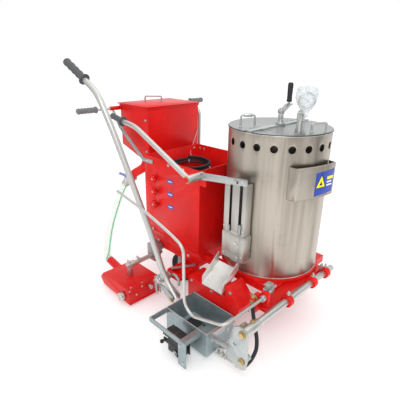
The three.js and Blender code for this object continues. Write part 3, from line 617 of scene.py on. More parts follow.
    @staticmethod
    def plate(
        name: str, outline: Sequence[Vector], thickness: Vector, bevel: float = 0.6, segments: int = 2
    ) -> bpy.types.Object:
        """Extrudes a flat outline into a plate with softened edges."""
        Bench.deselect()
        bpy.ops.mesh.primitive_circle_add(vertices=len(outline), radius=1, fill_type="NGON")
        piece = bpy.context.object
        piece.name = name
        for vertex, place in zip(piece.data.vertices, outline):
            vertex.co = place
        bpy.ops.object.mode_set(mode="EDIT")
        bpy.ops.mesh.select_all(action="SELECT")
        bpy.ops.mesh.extrude_region_move(TRANSFORM_OT_translate={"value": thickness})
        bpy.ops.object.mode_set(mode="OBJECT")
        Bench.clean(piece)
        return Bench.soften(piece, bevel, segments=segments)

    @staticmethod
    def cut(piece: bpy.types.Object, *tools: bpy.types.Object) -> bpy.types.Object:
        """Takes the tools' solids away from a piece."""
        for tool in tools:
            Bench.modify(piece, "BOOLEAN", operation="DIFFERENCE", object=tool, solver="EXACT")
            bpy.data.objects.remove(tool)
        return piece

    @staticmethod
    def joined(name: str, pieces: Sequence[bpy.types.Object]) -> bpy.types.Object:
        """Joins several objects into one."""
        Bench.only(pieces[0])
        for piece in pieces:
            piece.select_set(True)
        if len(pieces) > 1:
            bpy.ops.object.join()
        pieces[0].name = name
        return pieces[0]


def rounded(corners: Sequence[Vector], bend: float, steps: int = 8) -> list[Vector]:
    """Rounds a line's corners, as bent tube has them.

    Args:
        corners: The corners in metres.
        bend: How far from each corner the bend starts, in millimetres.
        steps: Points in each bend.

    Returns:
        The line's points.
    """
    line = [corners[0]]
    start = corners[0]
    for before, corner, after in zip(corners, corners[1:], corners[2:]):
        back, ahead = before - corner, after - corner
        reach = min(bend * MM, back.length / 2.1, ahead.length / 2.1)
        enter, leave = corner + back.normalized() * reach, corner + ahead.normalized() * reach
        for step in range(steps + 1):
            t = step / steps
            line.append(enter * (1 - t) ** 2 + corner * 2 * t * (1 - t) + leave * t * t)
        start = leave
    line.append(corners[-1])
    return [p for i, p in enumerate(line) if i == 0 or (p - line[i - 1]).length > 1e-5] if start else line


def flowing(points: Sequence[Vector], steps: int = 8) -> list[Vector]:
    """Draws a smooth centripetal curve through points, as a hose lies.

    Args:
        points: The points in metres.
        steps: Points between each two.

    Returns:
        The curve's points.
    """
    ends = [points[0] * 2 - points[1], *points, points[-1] * 2 - points[-2]]
    line: list[Vector] = []
    for p0, p1, p2, p3 in zip(ends, ends[1:], ends[2:], ends[3:]):
        t1 = math.sqrt((p1 - p0).length)
        t2 = t1 + math.sqrt((p2 - p1).length)
        t3 = t2 + math.sqrt((p3 - p2).length)
        for step in range(steps):
            t = t1 + (t2 - t1) * step / steps
            a1 = p0 * ((t1 - t) / t1) + p1 * (t / t1)
            a2 = p1 * ((t2 - t) / (t2 - t1)) + p2 * ((t - t1) / (t2 - t1))
            a3 = p2 * ((t3 - t) / (t3 - t2)) + p3 * ((t - t2) / (t3 - t2))
            b1 = a1 * ((t2 - t) / t2) + a2 * (t / t2)
            b2 = a2 * ((t3 - t) / (t3 - t1)) + a3 * ((t - t1) / (t3 - t1))
            line.append(b1 * ((t2 - t) / (t2 - t1)) + b2 * ((t - t1) / (t2 - t1)))
    return [*line, points[-1]]


class Head(Enum):
    """The kinds of fastener head on the machine."""

    HEX = "hex"
    ROUND = "round"
    SOCKET = "socket"


@dataclass
class Section:
    """A sub-assembly: shows its pieces on their bodies."""

    body: str = "chassis"

    def show(
        self,
        piece: bpy.types.Object,
        finish: Finish,
        *nodes: str,
        body: str | None = None,
        angle: float = 38,
    ) -> bpy.types.Object:
        """Dresses a piece and puts it on its body.

        Args:
            piece: The finished mesh.
            finish: What it is made of.
            nodes: The CAD nodes that it stands for.
            body: The body that it rides on, if not the section's own.
            angle: Edges sharper than this stay sharp.

        Returns:
            The same piece.
        """
        piece.data.materials.clear()
        piece.data.materials.append(finish.material())
        Bench.only(piece)
        bpy.ops.object.shade_smooth_by_angle(angle=math.radians(angle))
        if nodes:
            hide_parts(*nodes)
        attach(piece, body or self.body)
        log.info("%s: %d faces on %s", piece.name, len(piece.data.polygons), body or self.body)
        return piece

    def declare_cord(
        self,
        piece: bpy.types.Object,
        line: Sequence[Vector],
        diameter: float,
        stiffness: str,
        lay: str = "loose",
        with_pieces: Sequence[bpy.types.Object] = (),
    ) -> None:
        """Logs the length of a hose or wire, taken along the line that it follows.

        Args:
            piece: The finished tube.
            line: Its centreline, from the end where it leaves the object.
            diameter: Not used.
            with_pieces: Not used.
        """
        length = sum((after - before).length for before, after in zip(line, line[1:]))
        log.info("%s is %.3f m long", piece.name, length)

    def refine(
        self,
        node: str,
        name: str,
        finish: Finish,
        bevel: float = 0.8,
        body: str | None = None,
        angle: float = 33,
    ) -> bpy.types.Object:
        """Takes a copy of a CAD solid, rounds its edges and shows it in the solid's place.

        Args:
            node: The CAD node.
            name: The piece's name.
            finish: What it is made of.
            bevel: Width of the rounded edges.
            body: The body, if not the section's own.
            angle: Edges sharper than this are rounded.

        Returns:
            The piece.
        """
        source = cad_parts[node]
        piece = bpy.data.objects.new(name, source.data.copy())
        bpy.context.scene.collection.objects.link(piece)
        Bench.clean(piece, 0.01, outward=False)
        bpy.ops.object.mode_set(mode="EDIT")
        bpy.ops.mesh.select_all(action="SELECT")
        bpy.ops.mesh.dissolve_limited(angle_limit=math.radians(0.6))
        bpy.ops.object.mode_set(mode="OBJECT")
        Bench.soften(piece, bevel, angle)
        return self.show(piece, finish, node, body=body)

    def bolt(
        self,
        name: str,
        place: Vector,
        out: Vector,
        radius: float = 8,
        head: Head = Head.HEX,
        finish: Finish | None = None,
        body: str | None = None,
    ) -> bpy.types.Object:
        """Fits one fastener: a washer with its head standing out of a face.

        Args:
            name: The piece's name.
            place: Where its axis meets the face.
            out: The face's outward direction.
            radius: The head's radius.
            head: The kind of head.
            finish: What it is made of, if not bright steel.
            body: The body that it rides on, if not the section's own.

        Returns:
            The piece.
        """
        high = radius * 0.62
        washer = [
            (0, -0.4), (radius * 1.22, -0.4), (radius * 1.28, 0.4), (radius * 1.2, radius * 0.16), (0, 1)
        ]
        parts = [Bench.spun(name, washer, place, out, 24)]
        if head is Head.HEX:
            cap = [(0, 0.6), (radius * 0.98, 0.6), (radius, 1), (radius, high), (radius * 0.86, high + 0.5)]
            parts.append(Bench.spun("head", [*cap, (0, high + 0.5)], place, out, 6))
        elif head is Head.ROUND:
            dome = [(radius * math.cos(a), 0.6 + high * math.sin(a)) for a in (0, 0.35, 0.7, 1.05, 1.35)]
            parts.append(Bench.spun("head", [(0, 0.6), *dome, (0, 0.6 + high)], place, out, 24))
        else:
            cap = [(0, 0.6), (radius * 0.82, 0.6), (radius * 0.82, high * 1.3), (radius * 0.7, high * 1.5)]
            cap += [(radius * 0.4, high * 1.5), (radius * 0.36, high * 0.8), (0, high * 0.8)]
            parts.append(Bench.spun("head", cap, place, out, 24))
        return self.show(Bench.joined(name, parts), finish or FASTENER, body=body)


# ---- Sub-assemblies ----


@dataclass
class Kettle(Section):
    """The stainless kettle with its lids, mixer, gauge and document pocket."""

    radius: float = 245.0
    wall: float = 3.0
    base: float = 285.0
    top: float = 980.0
    vents: int = 20
    vent_radius: float = 17.0
    vent_height: float = 920.0
    first_vent: float = -6.9
    seam_angle: float = -52.0
    facets: int = 144
    rings: int = 28

    def around(self, angle: float, radius: float, z: float) -> Vector:
        """Gives the place at an angle in degrees round the kettle."""
        turn = math.radians(angle)
        return at(radius * math.cos(turn), radius * math.sin(turn), z)

    def shell(self) -> None:
        """Makes the hand-rolled outer drum, with its vents, slot for the outlet, seam and beads."""
        profile = [(self.radius - self.wall, self.base + 4)]
        profile += [(self.radius - self.wall, self.top - 0.4), (self.radius, self.top - 0.4)]
        steps = [self.top - (self.top - self.base) * step / self.rings for step in range(1, self.rings)]
        profile += [(self.radius, z) for z in steps]
        profile += [(self.radius, self.base), (118, self.base), (118, self.base + 4)]
        drum = Bench.spun("kettle_drum", profile, AXIS.copy(), Vector((0, 0, 1)), self.facets)
        for vertex in drum.data.vertices:
            out = Vector((vertex.co.x - AXIS.x, vertex.co.y - AXIS.y, 0))
            if out.length > (self.radius - 5) * MM and self.base + 2 < vertex.co.z / MM < self.top - 8:
                place = Vector((vertex.co.x * 6.5, vertex.co.y * 6.5, vertex.co.z * 2.4))
                vertex.co += out.normalized() * (noise.noise(place) * 1.3 - 0.9) * MM
        for vent in range(self.vents):
            angle = self.first_vent + vent * 360 / self.vents
            punch = Bench.rod(
                "punch",
                self.vent_radius,
                self.around(angle, self.radius - 20, self.vent_height),
                self.around(angle, self.radius + 20, self.vent_height),
                0.1,
                28,
            )
            Bench.cut(drum, punch)
        Bench.cut(drum, Bench.block("punch", (-34, -262, self.base + 60), (34, -200, self.base + 130), 0))
        Bench.soften(drum, 0.5, 40)
        self.show(drum, STAINLESS, "kettle_shell", angle=40)
        # Black ring just under the lid's edge: a painted shadow for the dark line where the lid stands proud
        # of the drum, not a real seal.
        rim_shadow_profile = [(239, -1.4), (245.9, -1.4), (246.1, 0), (245.6, 1.1), (239, 1.1)]
        rim_shadow_ring = Bench.spun(
            "lid_rim_painted_shadow", [(r, self.top + h) for r, h in rim_shadow_profile], AXIS.copy(), Vector((0, 0, 1)), 112
        )
        Bench.cut(rim_shadow_ring, Bench.block("gap", (-18, -260, self.top - 9), (18, -230, self.top + 9), 0))
        Bench.cut(rim_shadow_ring, Bench.block("gap", (-18, 230, self.top - 9), (18, 260, self.top + 9), 0))
        self.show(rim_shadow_ring, BLACK_RUBBER)
        disc = Bench.rod(
            "gauge_base", self.radius - 0.8, at(0, 0, self.top + 1.2), at(0, 0, self.top + 3.2), 0.4, 112
        )
        corner = Bench.block("corner", (145.6, -177.4, self.top - 9), (260, -84.6, self.top + 9), 0)
        Bench.only(disc)
        keep = disc.modifiers.new("keep", "BOOLEAN")
        keep.operation, keep.solver, keep.object = "INTERSECT", "EXACT", corner
        bpy.ops.object.modifier_apply(modifier=keep.name)
        bpy.data.objects.remove(corner, do_unlink=True)
        self.show(disc, LID_STEEL)
        beads = []
        for z, thick in ((self.top - 3.6, 1.8), (self.base + 2.2, 2.2)):
            ring = [
                (self.radius - 0.4 + thick * math.cos(a), z + thick * math.sin(a))
                for a in (math.radians(40 * i) for i in range(9))
            ]
            beads.append(Bench.spun("bead", ring, AXIS.copy(), Vector((0, 0, 1)), self.facets))
        self.show(Bench.joined("kettle_beads", beads), FASTENER)
        corners = [(-7, -0.9), (7, -0.9), (7, 0.7), (-5.5, 1.1), (-7, 0.8)]
        out = self.around(self.seam_angle, 1, 0) - AXIS
        side = Vector((0, 0, 1)).cross(out).normalized() * MM
        foot = self.around(self.seam_angle, self.radius, self.base + 6)
        outline = [foot + side * across + out.normalized() * proud * MM for across, proud in corners]
        seam = Bench.plate("kettle_seam", outline, Vector((0, 0, (self.top - self.base - 12) * MM)), 0.3)
        self.show(seam, STAINLESS)
        place = self.around(self.seam_angle + 3, self.radius - 0.5, 567)
        self.bolt("kettle_rivet", place, out, 3.4, Head.ROUND)

    def lid(
        self, name: str, side: int, foot: tuple[float, float], far: tuple[float, float], rise: float
    ) -> None:
        """Makes half a lid with its rolled edge, hinge knuckles and bent-rod handle.

        Args:
            name: front or rear.
            side: 1 for the front half, -1 for the rear.
            foot: Where the handle's first leg stands.
            far: Where its other leg stands.
            rise: The handle's height over the lid.
        """
        node = f"lid_{name}"
        body = f"{name}_lid"
        reach, z = self.radius - 0.5, self.top
        profile = [
            (0, z + 0.5), (reach - 1, z + 0.5), (reach, z + 1.2), (reach, z + 2.8), (reach - 1.6, z + 3.4)
        ]
        profile += [(reach - 9, z + 3.5), (reach - 13, z + 2.9), (0, z + 2.9)]
        disc = Bench.spun("lid_disc", profile, AXIS.copy(), Vector((0, 0, 1)), 112)
        Bench.only(disc)
        bpy.ops.object.mode_set(mode="EDIT")
        bpy.ops.mesh.select_all(action="SELECT")
        bpy.ops.mesh.bisect(
            plane_co=at(
                side * 17.2, 0, 0
            ), plane_no=(-side, 0, 0), use_fill=True, clear_inner=False, clear_outer=True
        )
        bpy.ops.object.mode_set(mode="OBJECT")
        Bench.clean(disc)
        for y in (-265, 265):
            Bench.cut(disc, Bench.block("notch", (-22.6, y - 35, z - 5), (22.6, y + 35, z + 20), 0))
        if side > 0:
            Bench.cut(disc, Bench.block("notch", (145, -178, z - 5), (260, -84, z + 20), 0))
        parts = [disc]
        for y in (-150, 150):
            for shift in (-17, 0, 17):
                start, end = at(side * 22, y + shift - 8.2, z + 6), at(side * 22, y + shift + 8.2, z + 6)
                parts.append(Bench.rod("knuckle", 5, start, end, 1, 20))
            leaf = (side * 24, side * 48) if side > 0 else (side * 48, side * 24)
            parts.append(Bench.block("leaf", (leaf[0], y - 25, z + 2.6), (leaf[1], y + 25, z + 4.6), 0.6))
        self.show(Bench.joined(f"{name}_lid_plate", parts), LID_STEEL, node, body=body)
        corners = [at(*foot, z + 2), at(*foot, z + rise), at(*far, z + rise), at(*far, z + 2)]
        bar = Bench.pipe("bar", rounded(corners, 14), 4.6)
        pads = []
        for x, y in (foot, far):
            ring = [(0, -0.3), (9, -0.3), (9.4, 1), (6.5, 1.8), (5, 5), (0, 5)]
            pads.append(Bench.spun("weld", ring, at(x, y, z + 2.9), Vector((0, 0, 1)), 20))
        self.show(Bench.joined(f"{name}_lid_handle", [bar, *pads]), BRIGHT_ZINC, body=body)
        middle = (at(*foot, z + rise) + at(*far, z + rise)) / 2
        half = (at(*far, 0) - at(*foot, 0)).normalized() * 20 * MM
        if side < 0:
            cover = Bench.rod("rear_lid_grip", 9, middle - half, middle + half, 2, 24)
            self.show(cover, SILVER, body=body)

    def mixer(self) -> None:
        """Makes the crossbar's bearing, the crank and its grip."""
        self.refine("kettle_crossbar", "crossbar", BRIGHT_ZINC, 1.0)
        self.refine("mixer_shaft", "mixer_paddles", SILVER, 0.6)
        self.refine("melting_pot", "inner_pot", INNER_STEEL, 0.6)
        self.refine("burner_ring", "burner", CAST_IRON, 0.8)
        z = self.top
        flange = [(15, 0), (28, 0), (29, 1), (29, 4), (27, 5.5), (20, 6), (18, 20), (15.5, 22), (15, 22)]
        collar = Bench.spun(
            "mixer_bearing", [(r - 4, h) for r, h in flange], at(0, 0, z + 11), Vector((0, 0, 1)), 36
        )
        self.show(collar, BRIGHT_ZINC)
        for turn in range(4):
            angle = math.pi / 4 + turn * math.pi / 2
            place = at(19 * math.cos(angle) * 0.9, 19 * math.sin(angle) * 0.9, z + 17)
            self.bolt(f"bearing_screw_{turn + 1}", place, Vector((0, 0, 1)), 2.6)
        hub = Bench.rod("hub", 16, at(0, 0, 1040.4), at(0, 0, 1056), 1.5, 32)
        lines = [
            (-13, 1047), (16, 1047), (70, 1073), (78, 1073), (78, 1079.5), (50, 1079.5), (6, 1057),
            (-13, 1057),
        ]
        arm = Bench.plate("arm", [at(-12, y, h) for y, h in lines], Vector((24 * MM, 0, 0)), 1.2)
        stud = Bench.rod("stud", 6, at(0, 60, 1076), at(0, 60, 1177), 1.5, 24)
        crank = Bench.joined("crank", [hub, arm, stud])
        self.show(crank, BRIGHT_ZINC, "mixer_crank", body="mixer")
        self.bolt("crank_nut", at(0, 0, 1056.6), Vector((0, 0, 1)), 11, body="mixer")
        profile = [
            (6.4, 0), (11, 0), (13, 2.5), (12.4, 8), (11.6, 22), (12.2, 48), (13, 70), (12.6, 80), (10.5, 86)
        ]
        profile += [(7, 88.5), (6.4, 88.5)]
        grip = Bench.spun("crank_grip", profile, at(0, 60, 1088), Vector((0, 0, 1)), 40)
        self.show(grip, BLACK_RUBBER, "mixer_grip", body="mixer_handle")

    def gauge(self) -> None:
        """Makes the thermometer on its bracket, in the clear bag that it is delivered in."""
        x, y, z = 178.0, -118.0, self.top
        facing = Vector((math.sqrt(0.5), -math.sqrt(0.5), 0))
        side = Vector((math.sqrt(0.5), math.sqrt(0.5), 0))
        centre = at(x + 12, y + 2, z + 143)
        corners = [(-27, 4), (27, 4), (15, 68), (-15, 68)]
        bracket = Bench.plate(
            "plate", [at(x + a, y - 3, z + h) for a, h in corners], Vector((0, 3.4 * MM, 0)), 0.8
        )
        foot = Bench.block("foot", (x - 17, y - 16, z - 2.6), (x + 17, y + 16, z + 5.5), 1)
        neck = Bench.block("neck", (x - 13, y - 20, z + 60), (x + 13, y + 3, z + 92), 2.5)
        self.show(Bench.joined("gauge_bracket", [bracket, foot, neck]), BRIGHT_ZINC, "thermometer")
        stem = Bench.rod("stem", 7, at(x, y - 10, z + 5), at(x, y - 10, z + 62), 1, 24)
        thread = Bench.spun(
            "nut", [
                (0, 0), (12, 0), (13, 1.5), (13, 11), (12, 12.5), (0, 12.5)
            ], at(x, y - 10, z + 90), Vector((0, 0, 1)), 6
        )
        self.show(Bench.joined("gauge_stem", [stem, thread]), FASTENER)
        back = centre - facing * 12 * MM
        case = [(0, 0), (30, 0), (33, 3), (33, 20), (35, 21), (35, 25), (32, 26.5), (30.5, 23), (0, 23)]
        self.show(Bench.spun("gauge_case", case, back, facing, 56), FASTENER)
        face = Bench.rod("gauge_face", 30, back + facing * 22.6 * MM, back + facing * 23.6 * MM, 0.3, 48)
        self.show(face, WHITE_LABEL)
        marks = []
        up = Vector((0, 0, 1))
        for tick in range(21):
            angle = math.radians(225 - tick * 13.5)
            out = side * math.cos(angle) + up * math.sin(angle)
            across = facing.cross(out) * (1.1 if tick % 5 == 0 else 0.6) * MM
            near, far = (21 if tick % 5 == 0 else 24), 27
            root = back + facing * 23.4 * MM
            corners = [root + out * near * MM - across, root + out * far * MM - across]
            corners += [root + out * far * MM + across, root + out * near * MM + across]
            marks.append(Bench.plate("tick", corners, facing * 0.6 * MM, 0))
        needle_way = side * math.cos(2.5) + up * math.sin(2.5)
        across = facing.cross(needle_way) * 1.4 * MM
        root = back + facing * 23.6 * MM
        corners = [
            root - needle_way * 8 * MM - across,
            root + needle_way * 22 * MM,
            root - needle_way * 8 * MM + across,
        ]
        marks.append(Bench.plate("needle", corners, facing * 1.2 * MM, 0))
        self.show(Bench.joined("gauge_marks", marks), BLACK_LABEL)
        self.bag(centre, facing, side)

    def bag(self, centre: Vector, facing: Vector, side: Vector) -> None:
        """Makes the clear bag round the gauge: a crumpled pouch gathered at its neck.

        Args:
            centre: The middle of the gauge.
            facing: The way the gauge faces.
            side: The gauge's level direction.
        """
        outline = [
            (2, -70), (12, -66), (11, -48), (22, -36), (36, -16), (43, 6), (44, 26), (40, 44), (31, 54),
            (2, 58),
        ]
        Bench.deselect()
        bpy.ops.mesh.primitive_uv_sphere_add(segments=72, ring_count=48, radius=1)
        pouch = bpy.context.object
        pouch.name = "gauge_bag"
        for vertex in pouch.data.vertices:
            place = vertex.co.copy()
            h = -70 + (place.z + 1) / 2 * 128
            width = next(
                r0 + (r1 - r0) * (h - h0) / (h1 - h0)
                for (r0, h0), (r1, h1) in zip(outline, outline[1:])
                if h0 <= h <= h1 + 1e-6
            )
            flat = Vector((place.x, place.y)).normalized() if (place.x or place.y) else Vector((1, 0))
            crease = noise.noise(Vector((flat.x * 3.1, flat.y * 3.1, h * 0.045))) * 0.16
            crease += noise.noise(Vector((flat.x * 8, flat.y * 8, h * 0.09))) * 0.09
            spread = width * (1 + crease)
            depth = spread * (0.62 if h > -30 else 0.9)
            vertex.co = centre + (side * flat.x * spread + facing * flat.y * depth + Vector((0, 0, h))) * MM
        Bench.clean(pouch)
        Bench.modify(pouch, "SOLIDIFY", thickness=0.35 * MM, offset=0)
        self.show(pouch, CLEAR_BAG, angle=60)

    def pocket(self) -> None:
        """Makes the curved document pocket with its plain blue label and yellow triangle."""
        turn = math.radians(-14)
        out = Vector((math.cos(turn), math.sin(turn), 0))
        side = Vector((-math.sin(turn), math.cos(turn), 0))
        low, high = 700, 848

        def on_face(across: float, z: float, proud: float) -> Vector:
            """Gives a place on the pocket's curved front."""
            return AXIS + (
                out * (269 + proud - across * across / 1100) + side * across + Vector((0, 0, z))
            ) * MM

        stations = [-120 + 12 * step for step in range(21)]
        ends = []
        for across in (-124, 124):
            meet = math.sqrt((self.radius + 0.4) ** 2 - 122**2)
            ends.append(AXIS + (out * meet + side * across + Vector((0, 0, low))) * MM)
        front = [on_face(across, low, 0) for across in stations]
        back = [on_face(across, low, -2.5) for across in reversed(stations)]
        back = [back[0] - side * 1.5 * MM, *back[1:-1], back[-1] + side * 1.5 * MM]
        outline = [ends[0], *front, ends[1], ends[1] - side * 3 * MM, *back, ends[0] + side * 3 * MM]
        wall = Bench.plate("pocket_wall", outline, Vector((0, 0, (high - low) * MM)), 0.6, 1)
        floor = Bench.plate("pocket_floor", [ends[0], *front, ends[1]], Vector((0, 0, 2.5 * MM)), 0)
        hem = []
        for before, after in zip(stations, stations[1:]):
            hem.append(
                Bench.rod("hem", 2.2, on_face(before, high, -1.2), on_face(after, high, -1.2), 0.1, 10)
            )
        self.show(Bench.joined("pocket_sheet", [wall, floor, *hem]), STAINLESS, "document_pocket")

        def strip(name: str, corners: tuple[Point, ...], proud: float, finish: Finish) -> None:
            """Lays a thin printed patch on the curved front, from columns of (across, low, high)."""
            parts = []
            for (a0, low0, high0), (a1, low1, high1) in zip(corners, corners[1:]):
                patch = [on_face(a0, low0, proud), on_face(a1, low1, proud)]
                patch += [on_face(a1, high1, proud), on_face(a0, high0, proud)]
                parts.append(Bench.plate("patch", patch, out * 0.7 * MM, 0))
            self.show(Bench.joined(name, parts), finish)

        columns = [-13 + 12.4 * step for step in range(11)]
        strip(
            "pocket_label",
            tuple((a, 709 + (a + 13) * 0.05, 818 + (a + 13) * 0.04) for a in columns),
            -0.2,
            BLUE_LABEL,
        )
        for name, finish, size, proud in (
            ("label_triangle_edge", BLACK_LABEL, 36, 0.5),
            ("label_triangle", YELLOW_LABEL, 30, 0.9),
            ("label_mark", BLACK_LABEL, 11, 1.3),
        ):
            base, peak = 746 + (36 - size) * 0.45, 746 + (36 - size) * 0.45 + size * 1.75
            half = size * 0.92
            middle = 22.0
            steps = [(-half, base, base + 0.4), (0, base, peak), (half, base, base + 0.4)]
            strip(name, tuple((middle + a, lo, hi) for a, lo, hi in steps), proud, finish)
        for row, (lo, hi, end) in enumerate(((778, 792, 106), (763, 770, 98), (748, 755, 102))):
            cells = tuple((62 + (end - 62) * step / 3, lo, hi) for step in range(4))
            strip(f"label_bar_{row + 1}", cells, 0.5, YELLOW_LABEL if row == 0 else WHITE_LABEL)

    def build(self) -> None:
        """Builds the whole kettle."""
        self.shell()
        self.lid("front", 1, (192, -48), (226, 20), 42)
        self.lid("rear", -1, (-94, -182), (-50, -134), 58)
        self.mixer()
        self.gauge()
        self.pocket()


@dataclass
class Grip:
    """A ribbed hand grip with a flange, slipped over the end of a tube."""

    radius: float = 20.0
    flange: float = 29.0
    waves: int = 4
    bore: float = 17.4

    def profile(self, length: float) -> list[tuple[float, float]]:
        """Draws the grip's section.

        Args:
            length: The grip's length.

        Returns:
            Pairs of radius and height.
        """
        line = [
            (self.bore, 0), (self.flange - 1.5, 0), (self.flange, 1.5), (self.flange, 5), (self.flange - 2, 7)
        ]
        line += [(self.radius + 1, 9)]
        body = length - 26
        steps = self.waves * 8
        for step in range(steps + 1):
            swell = math.cos(2 * math.pi * self.waves * step / steps)
            line.append((self.radius - 1.3 + 1.3 * swell, 12 + body * step / steps))
        line += [
            (self.radius, length - 10),
            (self.radius - 1.5, length - 4),
            (self.radius - 6, length),
            (0, length),
        ]
        line += [(0, length - 5), (self.bore, length - 5)]
        return line

    def build(self, name: str, start: Vector, end: Vector) -> bpy.types.Object:
        """Makes the grip between two places."""
        return Bench.spun(name, self.profile((end - start).length / MM), start, end - start, 40)


@dataclass
class Discharge(Section):
    """The gate that lets the paint out, its chute, and the lever that lifts it."""

    pivot: Point = (-225.0, -345.0, 742.0)
    route: tuple[Point, ...] = (
        (-235, -385, 747),
        (-640, -385, 938),
        (-752, -385, 948),
        (-842, -385, 966),
    )

    def build(self) -> None:
        """Builds the gate, chute and lever."""
        guide = Bench.block("guide", (-72, -300, 500), (52, -252, 756), 1.2)
        Bench.cut(guide, Bench.block("inside", (-60, -296.6, 490), (40, -255, 770), 0))
        Bench.cut(guide, Bench.block("front", (-40, -310, 519), (34, -290, 770), 0))
        spout = Bench.block("spout", (-76, -302, 372), (56, -246, 505), 1.4)
        Bench.cut(spout, Bench.block("throat", (-62, -299, 360), (42, -252, 520), 0))
        stay = Bench.block("stay", (-52, -303.6, 404), (32, -301.6, 500), 0.8)
        # Black sheet against the channel's back wall: painted shade in the deep recess seen through the slot
        # beside the gate bar.
        channel_shade_sheet = Bench.block("channel_shade_sheet", (-59.4, -257, 506), (39.4, -255.4, 754), 0.2)
        self.show(Bench.joined("gate_guide", [guide, spout, stay]), GATE_STEEL, "gate_channel")
        self.show(channel_shade_sheet, CAST_IRON)
        bar = Bench.block("bar", (-24, -291.5, 360), (18, -285.2, 780), 0.9)
        fold = Bench.block("fold", (-24, -302.5, 520), (18, -289, 754), 1.4)
        Bench.cut(fold, Bench.block("groove", (-20, -300, 510), (14, -280, 770), 0))
        pin = Bench.rod("pin", 5, at(-2, -312, 766.6), at(-2, -286, 766.6), 0.6, 24)
        self.show(
            Bench.joined("gate_plate", [bar, fold, pin]), GATE_STEEL, "gate_slide", body="discharge_gate"
        )
        self.refine("discharge_chute", "chute", CHUTE_STEEL, 0.7)
        x, y, z = self.pivot
        tube = Bench.pipe("tube", rounded([at(*p) for p in self.route], 60, 12), 13, 8)
        sleeve = Bench.rod("sleeve", 19, at(x, y - 53, z), at(x, y + 55, z), 1.5, 40, 11)
        outline = [(-14, -16), (0, -18), (286, 18), (286, 48), (0, 18), (-14, 12)]
        arm = Bench.plate("arm", [at(x + a, y + 36, z + h) for a, h in outline], Vector((0, 6 * MM, 0)), 0.9)
        Bench.cut(arm, Bench.block("slot", (x + 214, y + 30, z + 18), (x + 238, y + 50, z + 31.4), 0))
        lip = Bench.plate(
            "lip", [
                at(x + a, y + 29, z + h) for a, h in ((2, 15.4), (286, 45.4), (286, 48), (2, 18))
            ], Vector((0, 12 * MM, 0)), 0.6
        )
        self.show(Bench.joined("discharge_tube", [tube, sleeve]), SILVER, "discharge_lever", body="discharge")
        self.show(Bench.joined("discharge_arm", [arm, lip]), BRIGHT_ZINC, body="discharge")
        start, end = at(-744, -385, 947), at(-850, -385, 967.5)
        grip = Grip(17, 27, 3, 14.9).build("discharge_hand_grip", start, end)
        self.show(grip, GRIP, "discharge_grip", body="discharge")
        self.bolt("discharge_pivot_bolt", at(x, y - 54.2, z), Vector((0, -1, 0)), 14, finish=YELLOW_ZINC)
        self.bolt("gate_pin_head", at(-2, -312.4, 766.6), Vector((0, -1, 0)), 6, body="discharge_gate")
        self.bolt("arm_bolt", at(36, -309.4, 778), Vector((0, -1, 0)), 6, body="discharge")
        spots = ((-66, 534), (45, 534), (-64, 488), (48, 488), (46, 400), (22, 392), (-62, 392))
        for row, (bx, bz) in enumerate(spots):
            face = -300.2 if bz > 505 else (-303.8 if bx == 22 else -302.2)
            self.bolt(f"gate_bolt_{row + 1}", at(bx, face, bz), Vector((0, -1, 0)), 4.6)
        self.bolt("gate_stop_nut", at(12, -304, 464), Vector((0, -1, 0)), 10)
        grips = [
            Bench.block("side", (-40, -309, 512), (-28, -301.5, 548), 1.4),
            Bench.block("side", (24, -309, 512), (36, -301.5, 566), 1.4),
        ]
        self.show(Bench.joined("gate_stop", grips), GALVANISED)
        for row, (bx, by, bz) in enumerate(((-78, -391, 262), (10, -391, 262))):
            self.bolt(f"chute_rivet_{row + 1}", at(bx, by, bz), Vector((0, -0.67, 0.74)), 3.4, Head.ROUND)


